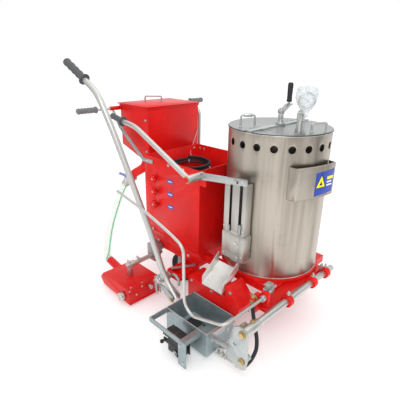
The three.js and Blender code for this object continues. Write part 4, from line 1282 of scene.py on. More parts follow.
@dataclass
class GasBox(Section):
    """The red box with the gas cylinder, its hose, valves and labels."""

    low: Point = (-700.0, -285.0, 285.0)
    high: Point = (-252.0, 144.0, 756.0)
    knobs: tuple[float, ...] = (636.0, 561.0, 484.0)

    def box(self) -> None:
        """Dresses the box and adds its base fold, fasteners and earth wire."""
        self.refine("gas_box", "gas_box_sheet", RED, 1.0)
        for row, (x, z) in enumerate(((-491, 735), (-374, 735))):
            self.bolt(f"box_bolt_{row + 1}", at(x, -285, z), Vector((0, -1, 0)), 6.5)
        self.bolt("box_inner_bolt_1", at(-697, 112, 732), Vector((1, 0, 0)), 6, Head.ROUND)
        for row, x in enumerate((-676, -640)):
            self.bolt(f"box_inner_bolt_{row + 2}", at(x, 141, 730), Vector((0, -1, 0)), 6, Head.ROUND)
        self.bolt("box_wing_bolt", at(-640, -285, 310), Vector((0, -1, 0)), 6.5, Head.SOCKET)
        rib = Bench.block("box_base_fold", (-690, -287.4, 305), (-262, -284.8, 309), 1.1)
        self.show(rib, RED)
        wire = rounded(
            [at(-704.5, 150, 852), at(-702, 142, 842), at(-698, 70, 700), at(-640, 60, 682)], 30, 10
        )
        piece = Bench.pipe("earth_wire", wire, 1.5, 4)
        self.show(piece, WHITE)
        self.declare_cord(piece, wire, 3, "stiff")

    def valves(self) -> None:
        """Makes the three lobed hand wheels and the plain label beside each."""
        y = self.low[1]
        for row, z in enumerate(self.knobs):
            lobes = []
            for lobe in range(6):
                angle = lobe * math.pi / 3
                place = at(-604 + 16 * math.cos(angle), y - 10, z + 16 * math.sin(angle))
                profile = [(0, 0), (7, 0), (8, 1.2), (8, 12.5), (7, 14), (0, 14)]
                lobes.append(Bench.spun("lobe", profile, place, Vector((0, -1, 0)), 18))
            dish = [(0, 0), (15, 0), (16.5, 1.5), (16.5, 12), (14, 14), (9, 12.5), (6.5, 17), (0, 17)]
            lobes.append(Bench.spun("dish", dish, at(-604, y - 9, z), Vector((0, -1, 0)), 32))
            lobes.append(Bench.rod("stem", 5, at(-604, y + 3, z), at(-604, y - 12, z), 0.6, 20))
            wheel = Bench.joined(f"valve_wheel_{row + 1}", lobes)
            self.show(wheel, RED, f"gas_knob_{row + 1}", body=f"knob_{row + 1}")
            self.bolt(f"valve_screw_{row + 1}", at(-604, y - 25.6, z), Vector((0, -1, 0)), 4.2, Head.ROUND,
                      body=f"knob_{row + 1}")
            label_z = (646, 572, 498)[row]
            plate = Bench.block(
                f"valve_label_{row + 1}", (-497, y - 1.0, label_z - 12), (-455, y + 0.2, label_z + 12), 0.3
            )
            self.show(plate, BLUE_LABEL)
            for bar, (x0, x1) in enumerate(((-491, -481), (-479, -470), (-468, -461))):
                mark = Bench.block(
                    f"valve_label_{row + 1}_bar_{bar + 1}", (
                        x0, y - 1.5, label_z - 3
                    ), (x1, y - 0.8, label_z + 3), 0.2
                )
                self.show(mark, WHITE_LABEL)

    def cylinder(self) -> None:
        """Makes the gas cylinder and the hose coiled on its shoulder."""
        x, y, z = -570.0, -40.0, 289.0
        profile = [
            (0, 2), (88, 2), (92, 0), (104, 8), (112, 18), (117, 34), (118, 50), (118, 148), (119.2, 150)
        ]
        profile += [
            (119.2, 156), (118, 158), (118, 246), (115, 264), (104, 285), (86, 299), (64, 306), (26, 312)
        ]
        profile += [
            (24, 322), (20, 323), (14, 324), (13, 350), (8, 352), (8, 356), (17, 356), (18, 358), (18, 364)
        ]
        profile += [(15, 366), (0, 366)]
        self.show(
            Bench.spun("gas_bottle", profile, at(x, y, z), Vector((0, 0, 1)), 64), GAS_ENAMEL, "gas_cylinder"
        )
        spout = Bench.rod("bottle_outlet", 7.5, at(x, y, z + 340), at(x, y - 26, z + 340), 1.5, 24)
        self.show(spout, BRASS)
        route = []
        for step in range(112):
            angle = 2 * math.pi * step / 48 + 0.6
            reach = 112 + 3 * math.sin(angle * 1.7)
            rise = 662 + 15.6 * step / 48
            route.append(at(x + reach * math.cos(angle), y + reach * math.sin(angle), rise))
        piece = Bench.pipe("bottle_hose", route, 7.4, 5)
        self.show(piece, BLACK_RUBBER, "coiled_gas_hose")
        self.declare_cord(piece, route, 14.8, "medium", "coiled")
        for turn in range(3):
            angle = 0.4 + turn * 2.1
            place = at(x + 112 * math.cos(angle), y + 112 * math.sin(angle), 668)
            tie = Bench.spun(
                f"hose_tie_{turn + 1}",
                [(8.4, -2), (12.5, -2), (12.5, 2), (8.4, 2)],
                place + Vector((0, 0, 2 * MM)),
                Vector((-math.sin(angle), math.cos(angle), 0)),
                20,
            )
            self.show(tie, WHITE)

    def build(self) -> None:
        """Builds the box and what it holds."""
        self.box()
        self.valves()
        self.cylinder()


@dataclass
class BeadStore(Section):
    """The bead hopper, its outlet, clear hose and dispenser."""

    hose_radius: float = 22.0
    hose: tuple[Point, ...] = (
        (-905, -282.9, 533.7),
        (-914, -287, 522),
        (-927, -306, 478),
        (-938, -345, 380),
        (-930, -400, 262),
        (-898, -450, 160),
        (-862, -484, 112),
        (-842, -488, 104.6),
        (-821.5, -488, 100.7),
    )

    def hopper(self) -> None:
        """Dresses the hopper, with its lid and bent-rod handle."""
        self.refine("bead_hopper", "hopper_sheet", RED, 1.0)
        top = 1018.0
        tray = Bench.block("tray", (-985, -259, top - 6), (-694, 152, top), 1.6)
        rim = Bench.block("rim", (-977, -250, top - 20), (-703, 153, top - 5), 1.2)
        Bench.cut(rim, Bench.block("inside", (-974.6, -247.6, top - 30), (-705.4, 150.6, top), 0))
        swage = Bench.block("swage", (-958, -230, top - 1.5), (-722, 134, top + 1.8), 1.6)
        self.show(Bench.joined("hopper_cover", [tray, rim, swage]), RED, "hopper_lid", body="bead_lid")
        feet = ((-925, -95), (-857, -20))
        corners = [at(*feet[0], top), at(*feet[0], top + 32), at(*feet[1], top + 32), at(*feet[1], top)]
        bar = Bench.pipe("bar", rounded(corners, 12), 5)
        self.show(Bench.joined("hopper_handle", [bar]), BRIGHT_ZINC, body="bead_lid")
        for row, (x, y) in enumerate(feet):
            self.bolt(
                f"hopper_handle_nut_{row + 1}", at(x, y, top + 1.8), Vector((0, 0, 1)), 6, body="bead_lid"
            )
        for row, z in enumerate((760, 940)):
            self.bolt(f"hopper_side_bolt_{row + 1}", at(-730, -245, z), Vector((0, -1, 0)), 5.5)

    def outlet(self) -> None:
        """Makes the outlet pipe with its coupling, clamps and tap."""
        self.refine("bead_outlet_pipe", "hopper_outlet", RED, 0.8)
        self.refine("outlet_coupling", "hose_coupling", WHITE, 1.0)
        along = (at(-903, -282, 536) - at(-858.5, -262, 589.2)).normalized()
        for row, (place, radius) in enumerate(
            (
                (at(-862, -263.5, 585), 35),
                (at(-876, -270, 568), 34.5),
                (at(-890, -276.5, 551), 27),
                (at(-899, -280.5, 540), 26.5),
            )
        ):
            ring = [
                (radius - 4, -3), (radius - 0.6, -3), (radius, -2.2), (radius, 2.2), (radius - 0.6, 3),
                (radius - 4, 3),
            ]
            self.show(
                Bench.spun(f"coupling_ring_{row + 1}", ring, place, along, 40), FASTENER if row % 2 else WHITE
            )
        handle = Bench.block("tap_handle", (-938, -312, 588), (-858, -296, 601), 2.5)
        self.show(handle, PALE_BLUE_LABEL)

    def hose_run(self) -> None:
        """Makes the clear hose with its green stripe and its two clips."""
        line = flowing([at(*p) for p in self.hose], 10)
        tube = Bench.pipe("bead_tube", line, self.hose_radius, 10)
        self.show(tube, CLEAR_HOSE, "bead_hose", angle=60)
        self.declare_cord(tube, line, 2 * self.hose_radius, "medium", "hanging")
        side = Vector((0.85, -0.1, 0.0))
        stripe = []
        for before, place, after in zip(line, line[1:], line[2:]):
            along = (after - before).normalized()
            out = (side - along * side.dot(along)).normalized()
            stripe.append(place + out * (self.hose_radius - 0.9) * MM)
        self.show(Bench.pipe("hose_stripe", stripe, 3.4, 4), GREEN_STRIPE)
        for row, (index, radius) in enumerate(((3, 23.4), (len(line) - 5, 23.4))):
            ring = [
                (radius - 1.8, -5), (radius, -5), (radius + 0.6, -4), (radius + 0.6, 4), (radius, 5),
                (radius - 1.8, 5),
            ]
            along = line[index + 1] - line[index]
            band = Bench.spun(f"hose_clip_{row + 1}", ring, line[index], along, 40)
            self.show(band, FASTENER)

    def dispenser(self) -> None:
        """Makes the dispenser's case, roller cap, knob, screws and clamp."""
        self.refine("dispenser_box", "dispenser_case", RED, 1.4)
        self.refine("bead_roller", "dispenser_drum", SILVER, 1.2, body="bead_drum")
        cap = [
            (0, 0), (23, 0), (25, 1.5), (25, 9), (22.5, 11), (17, 11), (16, 9.4), (8, 9.4), (7, 11.5),
            (0, 11.5),
        ]
        knob = Bench.spun("drum_cap", cap, at(-512, -617.4, 52), Vector((0, -1, 0)), 48)
        self.show(knob, FASTENER, body="bead_drum")
        profile = [(0, 0), (6, 0), (6, 12), (10, 12), (12, 14), (12.4, 26), (11, 29), (8, 30), (0, 30)]
        setting = Bench.spun("setting_knob", profile, at(-463.6, -467, 79), Vector((1, 0, 0)), 36)
        self.show(setting, BRIGHT_ZINC, "dispenser_knob", body="bead_setting")
        screws = ((-593, 96), (-511, 92), (-429, 94), (-550, 56), (-415, 66))
        for row, (y, z) in enumerate(screws):
            self.bolt(f"case_screw_{row + 1}", at(-464, y, z), Vector((1, 0, 0)), 4.2, Head.ROUND)
        for row, y in enumerate((-575, -500, -412)):
            self.bolt(f"case_top_screw_{row + 1}", at(-478, y, 105), Vector((0, 0, 1)), 3.6, Head.ROUND)
        bar = Bench.rod("bar", 14, at(-590, -520, 169), at(-590, -268, 169), 1.6, 36)
        post = Bench.block("post", (-604, -512, 105.4), (-576, -488, 170), 1.6)
        self.show(Bench.joined("dispenser_bar", [bar, post]), SILVER, "dispenser_arm")
        self.refine("dispenser_clamp", "bar_clamp", GALVANISED, 1.4)
        for row, (y, height) in enumerate(((-505, 184), (-440, 184), (-322, 262))):
            wing = Bench.joined(
                f"clamp_wing_{row + 1}",
                [
                    Bench.rod("shank", 5, at(-590, y, height - 18), at(-590, y, height + 4), 0.8, 20),
                    Bench.block("wing", (-606, y - 2.4, height), (-574, y + 2.4, height + 16), 2),
                ],
            )
            self.show(wing, BRIGHT_ZINC)

    def build(self) -> None:
        """Builds the store, hose and dispenser."""
        self.hopper()
        self.outlet()
        self.hose_run()
        self.dispenser()


@dataclass
class Handlebar(Section):
    """The push bar with its stay, post and two grips."""

    x: float = -988.0
    z: float = 985.0

    def build(self) -> None:
        """Builds the bar, stay, post and grips."""
        x, z = self.x, self.z
        bar = Bench.rod("bar", 12, at(x, -305, z), at(x, 250, z), 1.5, 32)
        ends = Bench.rod("ends", 7, at(x, -420, z), at(x, 365, z), 1.0, 24)
        caps = [
            Bench.spun(
                "cap",
                [(0, 0), (12, 0), (12.6, 1), (12.6, 6), (9, 9), (7, 9), (0, 9)],
                at(x, y, z),
                Vector((0, s, 0)),
                28,
            )
            for y, s in ((-302, -1), (247, 1))
        ]
        self.show(Bench.joined("push_bar", [bar, *caps]), RED, "handlebar")
        self.show(ends, SILVER)
        self.refine("handlebar_stay", "bar_stay", GALVANISED, 0.8)
        corners = [at(-716, 172, 640), at(-716, 172, 985), at(-975.6, 172, 985)]
        tube = Bench.pipe("tube", rounded(corners, 60, 14), 10, 8)
        foot = Bench.block("foot", (-726, 146, 630), (-700.4, 182, 700), 1.4)
        self.show(Bench.joined("bar_post", [tube, foot]), SILVER, "handlebar_post")
        shape = Grip(17, 20, 5, 7.4)
        for side, start, end in (("right", -400, -523), ("left", 345, 468)):
            grip = shape.build(f"bar_grip_{side}", at(x, start, z), at(x, end, z))
            self.show(grip, PUSH_GRIP, f"push_grip_{side}")
        for row, (bx, bz) in enumerate(((-640, 727), (-672, 727), (-984, 961))):
            self.bolt(f"stay_bolt_{row + 1}", at(bx, -289.5, bz), Vector((0, -1, 0)), 6)


@dataclass
class Front(Section):
    """The front rail in its red clamps, with the valves above it."""

    rail_x: float = 284.0
    rail_z: float = 258.0
    rail_radius: float = 16.0
    clamps: tuple[float, ...] = (-249.0, -34.0, 94.0)

    def rail(self) -> None:
        """Makes the rail, its end bolt and the beam that carries it."""
        x, z = self.rail_x, self.rail_z
        tube = Bench.rod("tube", self.rail_radius, at(x, -560, z), at(x, 165, z), 1.2, 48, 11)
        self.show(tube, SILVER, "front_rail")
        end = Bench.rod("rail_washer", 18.6, at(x, -570.6, z), at(x, -574, z), 0.8, 36)
        self.show(end, YELLOW_ZINC)
        self.bolt("rail_end_bolt", at(x, -573.6, z), Vector((0, -1, 0)), 13, finish=YELLOW_ZINC)
        core = Bench.rod("rail_core", 9, at(x, -570, z), at(x, -522, z), 0.8, 24)
        self.show(core, FASTENER)
        self.refine("rail_beam", "rail_support", RED, 1.2)
        for row, y in enumerate(self.clamps):
            ring = [(16.4, -14.4), (26.4, -14.4), (28, -12.8), (28, 12.8), (26.4, 14.4), (16.4, 14.4)]
            self.show(Bench.spun(f"rail_clamp_{row + 1}", ring, at(x, y, z), Vector((0, 1, 0)), 48), RED)
            self.bolt(f"clamp_bolt_{row + 1}", at(x + 2, y, z + 36), Vector((0, 0, 1)), 8)
            shank = Bench.rod(
                f"clamp_shank_{row + 1}", 5, at(x + 2, y, z + 40), at(x + 2, y, z + 52), 0.8, 20
            )
            self.show(shank, FASTENER)

    def valves(self) -> None:
        """Makes the brass and steel gas fittings over the beam."""
        parts = [
            Bench.rod("ferrule", 10.6, at(220, -430, 303), at(220, -430, 322), 1.2, 28),
            Bench.rod("elbow", 8.4, at(220, -430, 318), at(212, -388, 318), 1.0, 24),
            Bench.rod("bonnet", 7, at(220, -430, 322), at(220, -430, 344), 1.4, 24),
            Bench.block("tap", (208, -434, 340), (232, -426, 348), 1.6),
        ]
        self.show(Bench.joined("gas_elbow", parts), BRASS)
        nut = [(0, 0), (13, 0), (14, 1.5), (14, 9), (13, 10.5), (0, 10.5)]
        self.show(Bench.spun("gas_union", nut, at(218.4, -418, 318), Vector((-8, 42, 0)), 6), BRASS)
        body = [
            Bench.block("riser", (216, -326, 267), (228, -312, 306), 1.5),
            Bench.block("body", (205, -337, 302), (240, -296, 328), 3),
            Bench.rod("stem", 6, at(222, -318, 326), at(222, -318, 348), 1, 20),
            Bench.block("lever", (208, -340, 346), (236, -298, 351), 2),
            Bench.rod("inlet", 8, at(216, -337, 314), at(216, -348, 314), 1.5, 24),
            Bench.rod("outlet", 8, at(222, -296, 314), at(222, -262, 314), 1.5, 24),
        ]
        self.show(Bench.joined("main_gas_valve", body), BRIGHT_ZINC)
        lug = Bench.block("rail_lug", (268, 66, 280), (276, 84, 312), 1.2)
        self.show(lug, BRIGHT_ZINC)

    def build(self) -> None:
        """Builds the rail and valves."""
        self.rail()
        self.valves()


@dataclass
class Shoe(Section):
    """The swinging paint shoe with its guide, roller, burner and gas hose."""

    body: str = "shoe"
    hose: tuple[Point, ...] = (
        (220, -430, 300),
        (226, -431, 272),
        (238, -437, 240),
        (258, -447, 200),
        (280, -462, 165),
        (291, -478, 130),
        (287, -496, 92),
        (273, -511, 58),
        (256, -519, 36),
        (241, -520, 30.4),
    )

    def arm(self) -> None:
        """Makes the swing arm with its sleeve, plate and brass bushings."""
        self.refine("swing_arm", "shoe_arm", BRIGHT_ZINC, 1.0)
        sleeve = Bench.rod("arm_sleeve", 21.6, at(284, -562.5, 258), at(284, -469.5, 258), 1.4, 44, 16.6)
        self.show(sleeve, SILVER)
        bush = [(9.6, 0), (17, 0), (18.4, 1.4), (18.4, 5), (16.5, 6.4), (9.6, 6.4)]
        self.show(Bench.spun("upper_bush", bush, at(284, -569.8, 258), Vector((0, -1, 0)), 40), BRASS)
        lower = [(0, 0), (15.5, 0), (17, 1.4), (17, 5), (15, 6.4), (0, 6.4)]
        self.show(Bench.spun("lower_bush", lower, at(288, -569.8, 124), Vector((0, -1, 0)), 40), BRASS)
        self.bolt("lower_arm_bolt", at(288, -576, 124), Vector((0, -1, 0)), 10, finish=YELLOW_ZINC)
        self.bolt("sleeve_lock_bolt", at(278, -500, 279.4), Vector((-0.2, 0, 1)), 9, finish=YELLOW_ZINC)
        self.bolt("arm_tab_bolt", at(261, -543, 278), Vector((0, 0, 1)), 7, finish=YELLOW_ZINC)

    def trough(self) -> None:
        """Makes the open shoe with its rolled rim, slot, gate and guide frame."""
        self.refine("shoe_hopper", "shoe_trough", SHOE_STEEL, 1.0)
        gate = Bench.block("gate", (-64, -568, 25.4), (0, -407, 29), 0.7)
        self.show(Bench.joined("shoe_gate_plate", [gate]), BRIGHT_ZINC, "shoe_gate", body="paint_gate")
        self.refine("shoe_guide_frame", "guide_frame", SHOE_STEEL, 1.2)
        rim = [at(-171.5, -578.5, 146), at(96.2, -578.5, 146), at(96.2, -396.5, 146), at(-171.5, -396.5, 146)]
        edge = Bench.pipe("trough_rim", rounded([*rim, rim[0], rim[1]], 4, 3), 2.6, 4)
        self.show(edge, BRIGHT_ZINC)
        slot = Bench.block("slot_shadow", (-147.5, -554, 21.4), (-68.5, -421, 22.4), 0.3)
        self.show(slot, BLACK_LABEL)
        for row, (x, z) in enumerate(((48, 128), (66, 40))):
            self.bolt(f"guide_bolt_{row + 1}", at(x, -691, z), Vector((0, -1, 0)), 6.5)
        for row, x in enumerate((-150, -60, 30)):
            self.bolt(f"trough_rivet_{row + 1}", at(x, -580, 128), Vector((0, -1, 0)), 3.2, Head.ROUND)
        self.bolt(
            "gate_knob", at(-53, -438, 29), Vector((0, 0, 1)), 6, Head.ROUND, BLACK_RUBBER, "paint_gate"
        )
        for row, y in enumerate((-540, -440)):
            self.bolt(f"end_bolt_{row + 1}", at(97.6, y, 95), Vector((1, 0, 0)), 7)

    def carriage(self) -> None:
        """Makes the black roller bracket and the roller."""
        self.refine("roller_bracket", "roller_fork", CAST_IRON, 1.6)
        tread = [(7.5, -17), (14, -17), (15, -15), (30, -15), (32, -17), (34.5, -16.5), (36, -14), (36, 14)]
        tread += [(34.5, 16.5), (32, 17), (30, 15), (15, 15), (14, 17), (7.5, 17)]
        roller = Bench.spun("shoe_roller_tread", tread, at(-8, -642, 36), Vector((0, 1, 0)), 48)
        self.show(roller, BLACK_RUBBER, "support_roller", body="shoe_roller")
        self.bolt("roller_axle_head", at(-8, -673.6, 36), Vector((0, -1, 0)), 10)
        for row, x in enumerate((-84, 30)):
            stem = Bench.rod("stem", 5, at(x, -679, 62), at(x, -668, 62), 0.8, 16)
            ball = Bench.spun(
                "ball",
                [(0, -10)] + [
                    (10 * math.cos(a), 10 * math.sin(a)) for a in (-1.2, -0.8, -0.3, 0.3, 0.8, 1.2)
                ] + [(0, 10)],
                at(x, -684, 62),
                Vector((0, -1, 0)),
                24,
            )
            self.show(Bench.joined(f"adjuster_{row + 1}", [stem, ball]), BLACK_RUBBER)
        arm = Bench.block("adjuster_bar", (-92, -669, 52), (36, -661, 74), 2)
        self.show(arm, CAST_IRON)

    def burner(self) -> None:
        """Makes the burner pipe with its valve cluster, and the gas hose."""
        pipe = Bench.rod("pipe", 8, at(100, -520, 28), at(238, -520, 30), 1, 28)
        valve = Bench.rod("valve", 13, at(120, -520, 28.2), at(150, -520, 28.6), 2.5, 28)
        stem = Bench.rod("stem", 6, at(135, -520, 28), at(135, -520, 62), 1, 20)
        nuts = [
            Bench.spun(
                "nut",
                [(0, 0), (12, 0), (13, 1.2), (13, 8.8), (12, 10), (0, 10)],
                at(x, -520, 28 + (x - 100) * 0.0145),
                Vector((1, 0, 0.014)),
                6,
            )
            for x in (104, 156, 222)
        ]
        tap = Bench.block("tap", (118, -526, 58), (152, -514, 66), 2)
        self.show(Bench.joined("burner_valve", [pipe, valve, stem, tap, *nuts]), FASTENER, "shoe_burner_pipe")
        line = flowing([at(*p) for p in self.hose], 8)
        piece = Bench.pipe("gas_hose_run", line, 8.5, 8)
        self.show(piece, BLACK_RUBBER, "shoe_gas_hose", body="chassis", angle=60)
        self.declare_cord(piece, line, 17, "medium", "hanging")
        along = line[-1] - line[-4]
        sleeve = Bench.spun(
            "hose_ferrule", [(8.6, -12), (10.6, -12), (11, -10), (11, 6), (8.6, 8)], line[-4], along, 28
        )
        self.show(sleeve, FASTENER, body="chassis")

    def build(self) -> None:
        """Builds the whole shoe."""
        self.arm()
        self.trough()
        self.carriage()
        self.burner()


@dataclass
class Levers(Section):
    """The lift lever with its links, the outrigger that carries it, and the thin gate lever."""

    pivot: Point = (-313.0, -480.0, 205.0)
    lift: tuple[Point, ...] = (
        (-216, -480, 124),
        (-306, -480, 214),
        (-396, -497, 456),
        (-579, -548, 920),
        (-624, -562, 1025),
        (-677, -568, 1112),
        (-779, -572, 1169),
        (-931, -578, 1247),
    )
    gate: tuple[Point, ...] = (
        (240, -342, 314),
        (240, -636, 314),
        (60, -636, 258),
        (14, -636, 300),
        (10, -636, 566),
        (-60, -636, 596),
        (-228, -636, 645),
        (-449, -636, 686),
    )

    def lift_lever(self) -> None:
        """Makes the long bent lift lever with its boss, ear and grip."""
        x, y, z = self.pivot
        tube = Bench.pipe("tube", rounded([at(*p) for p in self.lift], 70, 12), 15.5, 8)
        boss = Bench.rod("boss", 24, at(x, y - 28, z), at(x, y + 28, z), 1.6, 44, 13.4)
        self.show(Bench.joined("lift_tube", [tube, boss]), SILVER, "lift_lever", body="lift")
        outline = [(-6, -30), (30, -30), (100, -62), (100, -92), (84, -97), (-30, -20), (-30, 10)]
        for row, side in enumerate((-26, 18)):
            ear = Bench.plate(
                f"lift_ear_{row + 1}", [
                    at(x + a, y + side, z + h) for a, h in outline
                ], Vector((0, 8 * MM, 0)), 1
            )
            self.show(ear, GALVANISED, body="lift")
        start, end = at(-777.5, -572, 1168.2), at(-938, -578.3, 1250.6)
        self.show(Grip(20.5, 29, 4, 17.4).build("lift_hand_grip", start, end), GRIP, "lift_grip", body="lift")
        self.bolt("lift_pivot_bolt", at(x, y - 34, z), Vector((0, -1, 0)), 15)
        self.bolt(
            "lift_ear_bolt", at(x + 90, y - 26.4, z - 78), Vector((0, -1, 0)), 9, finish=BRASS, body="lift"
        )
        self.bolt("lift_tube_bolt", at(-655, -565 - 14, 1075), Vector((0, -1, 0)), 5.5, body="lift")
        self.outrigger()

    def outrigger(self) -> None:
        """Makes the open red channel that carries the lift lever's pivot, with its links and catch hook."""
        x, y, z = self.pivot
        beam = Bench.block("beam", (x - 20, y + 42, z - 14), (x + 72, y + 195, z + 26), 1.6)
        Bench.cut(beam, Bench.block("hollow", (x - 15, y + 48, z - 9), (x + 67, y + 189, z + 40), 0))
        shaft = Bench.rod("shaft", 13, at(x, y - 44, z), at(x, y + 60, z), 1.5, 36)
        self.show(Bench.joined("outrigger", [beam]), RED, "outrigger_beam")
        self.show(shaft, SILVER)
        collar = Bench.rod("pivot_collar", 19, at(x, y + 29.4, z), at(x, y + 42, z), 1.4, 36)
        self.show(collar, BRIGHT_ZINC)
        bar = Bench.plate(
            "cross_strap",
            [
                at(x - 14, y + 62, z + 27),
                at(x + 2, y + 50, z + 27),
                at(x + 68, y + 170, z + 27),
                at(x + 52, y + 182, z + 27),
            ],
            Vector((0, 0, 5 * MM)),
            0.8,
        )
        self.show(bar, GALVANISED)
        line = [
            (0, 26), (-26, 14), (-36, -20), (-34, -62), (-22, -92), (-8, -92), (-16, -60), (-16, -22),
            (-8, 2), (6, 10),
        ]
        for row, side in enumerate((-34, -14)):
            hook = Bench.plate(
                f"link_plate_{row + 1}", [
                    at(x + a, y + side, z + h) for a, h in line
                ], Vector((0, 5 * MM, 0)), 0.9
            )
            self.show(hook, GALVANISED, body="lift")
        self.bolt("link_bolt_1", at(x - 14, y - 34.4, z - 84), Vector((0, -1, 0)), 8, body="lift")
        self.bolt("link_bolt_2", at(x - 24, y - 34.4, z - 6), Vector((0, -1, 0)), 6, body="lift")
        hook = [(40, 34), (66, 40), (96, 20), (100, -12), (88, -24), (84, -12), (84, 10), (62, 26), (42, 22)]
        catch = Bench.plate(
            "catch_hook", [at(x + a, y + 22, z + h) for a, h in hook], Vector((0, 6 * MM, 0)), 0.9
        )
        self.show(catch, GALVANISED, body="lift")
        self.bolt("catch_bolt", at(x + 90, y + 21.6, z - 12), Vector((0, -1, 0)), 6, body="lift")

    def gate_lever(self) -> None:
        """Makes the thin bent rod that works the shoe's gate."""
        rod = Bench.pipe("rod", rounded([at(*p) for p in self.gate], 34, 10), 6.4, 8)
        collar = Bench.rod("collar", 14, at(240, -394, 314), at(240, -372.4, 314), 1.5, 36)
        self.show(Bench.joined("gate_lever_rod", [rod, collar]), SILVER, "gate_rod", body="gate_lever")

    def build(self) -> None:
        """Builds both levers."""
        self.lift_lever()
        self.gate_lever()


@dataclass
class RunningGear(Section):
    """The red frame, main wheels, axle and rear caster."""

    wheel_x: float = -112.0
    wheel_z: float = 104.0
    sides: tuple[tuple[str, float], ...] = (("right", -335.0), ("left", 300.0))

    def frame(self) -> None:
        """Dresses the frame and the wheel guard."""
        self.refine("chassis_frame", "frame_weldment", RED, 1.0)
        self.refine("wheel_guard", "guard_sheet", RED, 1.2)
        spots = ((-600, -278, 245, (0, -1, 0)), (-340, -278, 245, (0, -1, 0)), (-600, 137, 245, (0, 1, 0)))
        for row, (x, y, z, out) in enumerate(spots):
            self.bolt(f"skirt_bolt_{row + 1}", at(x, y, z), Vector(out), 7)
        for row, (x, z) in enumerate(((-200, 200), (-60, 200), (60, 250))):
            self.bolt(f"guard_bolt_{row + 1}", at(x, -386, z), Vector((0, -1, 0)), 6.5)

    def wheels(self) -> None:
        """Makes the two rubber-tyred wheels and their axle."""
        tread = [(58, -17), (72, -23), (84, -23.5), (93, -22), (99, -17), (101.5, -12)]
        for groove in (-7, 0, 7):
            tread += [
                (103.6, groove - 2.4), (103.8, groove - 1.2), (101.8, groove - 0.9), (101.8, groove + 0.9)
            ]
            tread += [(103.8, groove + 1.2), (103.6, groove + 2.4)]
        tread += [(101.5, 12), (99, 17), (93, 22), (84, 23.5), (72, 23), (58, 17)]
        rim = [
            (14.6, -30), (24.5, -30), (26, -28.5), (26, -9), (30, -7.5), (46, -6), (55, -15), (57.6, -19),
            (57.6, 19),
        ]
        rim += [(55, 15), (46, 6), (30, 7.5), (26, 9), (26, 28.5), (24.5, 30), (14.6, 30)]
        for side, y in self.sides:
            centre = at(self.wheel_x, y, self.wheel_z)
            tyre = Bench.spun(f"rubber_tyre_{side}", tread, centre, Vector((0, 1, 0)), 72)
            self.show(tyre, TYRE, f"tyre_{side}", body=f"wheel_{side}")
            wheel = Bench.spun(f"wheel_rim_{side}", rim, centre, Vector((0, 1, 0)), 64)
            self.show(wheel, SILVER, f"rim_{side}", body=f"wheel_{side}")
            for turn in range(5):
                angle = 2 * math.pi * turn / 5
                place = centre + Vector((36 * math.cos(angle), -7 if y < 0 else 7, 36 * math.sin(angle))) * MM
                out = Vector((0, -1 if y < 0 else 1, 0))
                self.bolt(f"wheel_nut_{side}_{turn + 1}", place, out, 5.5, body=f"wheel_{side}")
        self.refine("main_axle", "wheel_axle", SILVER, 1.0)

    def caster(self) -> None:
        """Makes the swivelling rear caster."""
        self.refine("caster_fork", "caster_yoke", GALVANISED, 1.2, body="caster_swivel")
        tread = [
            (8.6, -24), (19, -24), (20, -23), (20, -14), (60, -13), (64, -20), (80, -20), (85.5, -15),
            (88, -7),
        ]
        tread += [(88, 7), (85.5, 15), (80, 20), (64, 20), (60, 13), (20, 14), (20, 23), (19, 24), (8.6, 24)]
        wheel = Bench.spun("caster_tyre", tread, at(-466, -200, 88), Vector((0, 1, 0)), 64)
        self.show(wheel, TYRE, "caster_wheel", body="caster_roll")
        for row, side in enumerate((-1, 1)):
            cap = [(8.8, 0), (17, 0), (18.6, 1.4), (18.6, 2.6), (8.8, 3.4)]
            hub = Bench.spun(
                f"caster_hub_{row + 1}", cap, at(-466, -200 + side * 23.4, 88), Vector((0, side, 0)), 36
            )
            self.show(hub, SILVER, body="caster_roll")

    def build(self) -> None:
        """Builds the frame and wheels."""
        self.frame()
        self.wheels()
        self.caster()


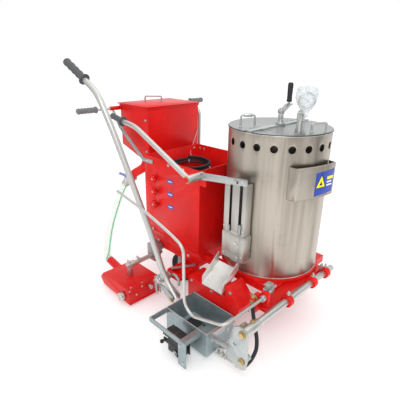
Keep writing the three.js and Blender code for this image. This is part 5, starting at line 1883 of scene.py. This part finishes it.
@dataclass
class Studio:
    """The pale floor, the soft lights and the camera."""

    camera_place: Point = (995.6, -1541.7, 1289.7)
    turn: float = 44.6808
    tip: float = 21.1595
    roll: float = 0.8837
    focal: float = 33.7074

    def camera(self) -> None:
        """Sets the camera at the machine's front right corner, above its kettle."""
        a, e, r = (math.radians(angle) for angle in (self.turn, self.tip, self.roll))
        forward = Vector((-math.sin(a) * math.cos(e), math.cos(a) * math.cos(e), -math.sin(e)))
        right = Vector((math.cos(a), math.sin(a), 0))
        up = right.cross(forward)
        level = right * math.cos(r) + up * math.sin(r)
        plumb = -right * math.sin(r) + up * math.cos(r)
        data = bpy.data.cameras.new("camera")
        data.lens, data.sensor_width, data.clip_end = self.focal, 36.0, 100.0
        camera = bpy.data.objects.new("camera", data)
        bpy.context.scene.collection.objects.link(camera)
        turned = Matrix((level, plumb, -forward)).transposed().to_4x4()
        camera.matrix_world = Matrix.Translation(at(*self.camera_place)) @ turned
        bpy.context.scene.camera = camera

    def lamp(self, name: str, place: Point, size: tuple[float, float], power: float, aim: Point) -> None:
        """Hangs one soft area light that looks at a place."""
        data = bpy.data.lights.new(name, "AREA")
        data.shape, data.size, data.size_y, data.energy = "RECTANGLE", size[0], size[1], power
        lamp = bpy.data.objects.new(name, data)
        bpy.context.scene.collection.objects.link(lamp)
        lamp.location = place
        lamp.rotation_euler = (Vector(aim) - Vector(place)).to_track_quat("-Z", "Y").to_euler()

    def card(self, name: str, low: Point, high: Point, tone: float) -> None:
        """Stands a plain card out of view, for the bright metal to mirror."""
        Bench.deselect()
        bpy.ops.mesh.primitive_cube_add(size=1, location=(Vector(low) + Vector(high)) / 2)
        board = bpy.context.object
        board.name = name
        board.scale = [b - a for a, b in zip(low, high)]
        Bench.settle(board)
        graph = Graph(f"{name}_card")
        board.data.materials.append(graph.finish(Base_Color=(tone, tone, tone), Roughness=0.9))
        board.visible_shadow = False
        board.visible_camera = False
        board.visible_diffuse = False

    def build(self) -> None:
        """Sets up the camera, floor, sky and lights."""
        self.camera()
        scene = bpy.context.scene
        scene.view_settings.view_transform = "Standard"
        world = bpy.data.worlds.new("studio")
        world.use_nodes = True
        world.node_tree.nodes["Background"].inputs["Color"].default_value = (1.0, 1.0, 1.0, 1.0)
        world.node_tree.nodes["Background"].inputs["Strength"].default_value = 1.0
        scene.world = world
        Bench.deselect()
        bpy.ops.mesh.primitive_circle_add(vertices=96, radius=30, fill_type="NGON")
        floor = bpy.context.object
        floor.name = "floor"
        graph = Graph("pale_floor")
        cloud = graph.noise(1.2, 3)
        floor.data.materials.append(
            graph.finish(
                Base_Color=graph.blend(cloud, (0.86, 0.86, 0.86), (0.88, 0.88, 0.88)),
                Roughness=0.75,
                Specular_IOR_Level=0.2,
                Emission_Color=(1.0, 1.0, 1.0),
                Emission_Strength=0.22,
            )
        )
        self.lamp("key", (2.4, -2.6, 3.2), (1.6, 1.6), 42, (0.1, 0, 0.5))
        self.lamp("top", (0, 0.4, 3.6), (3, 3), 18, (0, 0, 0.5))
        for name, angle, span, tone in (
            ("card_1", -100, 0.5, 0.12),
            ("card_2", -74, 0.22, 0.05),
            ("card_3", -38, 0.28, 0.10),
            ("card_4", -12, 0.7, 0.25),
            ("card_5", 28, 0.8, 0.06),
            ("card_6", -150, 1.0, 0.16),
        ):
            turn = math.radians(angle)
            x, y = 2.9 * math.cos(turn), 2.9 * math.sin(turn)
            self.card(name, (x - span / 2, y - span / 2, 0.0), (x + span / 2, y + span / 2, 2.4), tone)


def main() -> None:
    """Builds the studio and every sub-assembly, and notes the sizes."""
    logging.basicConfig(level=logging.INFO, format="%(message)s")
    Studio().build()
    for section in (
        BeadStore(),
        Shoe(),
        Kettle(),
        Discharge(),
        GasBox(),
        Handlebar(),
        Front(),
        Levers(),
        RunningGear(),
    ):
        section.build()
        log.info("%s done", type(section).__name__)
    Bench.deselect()


if __name__ == "__main__":
    main()
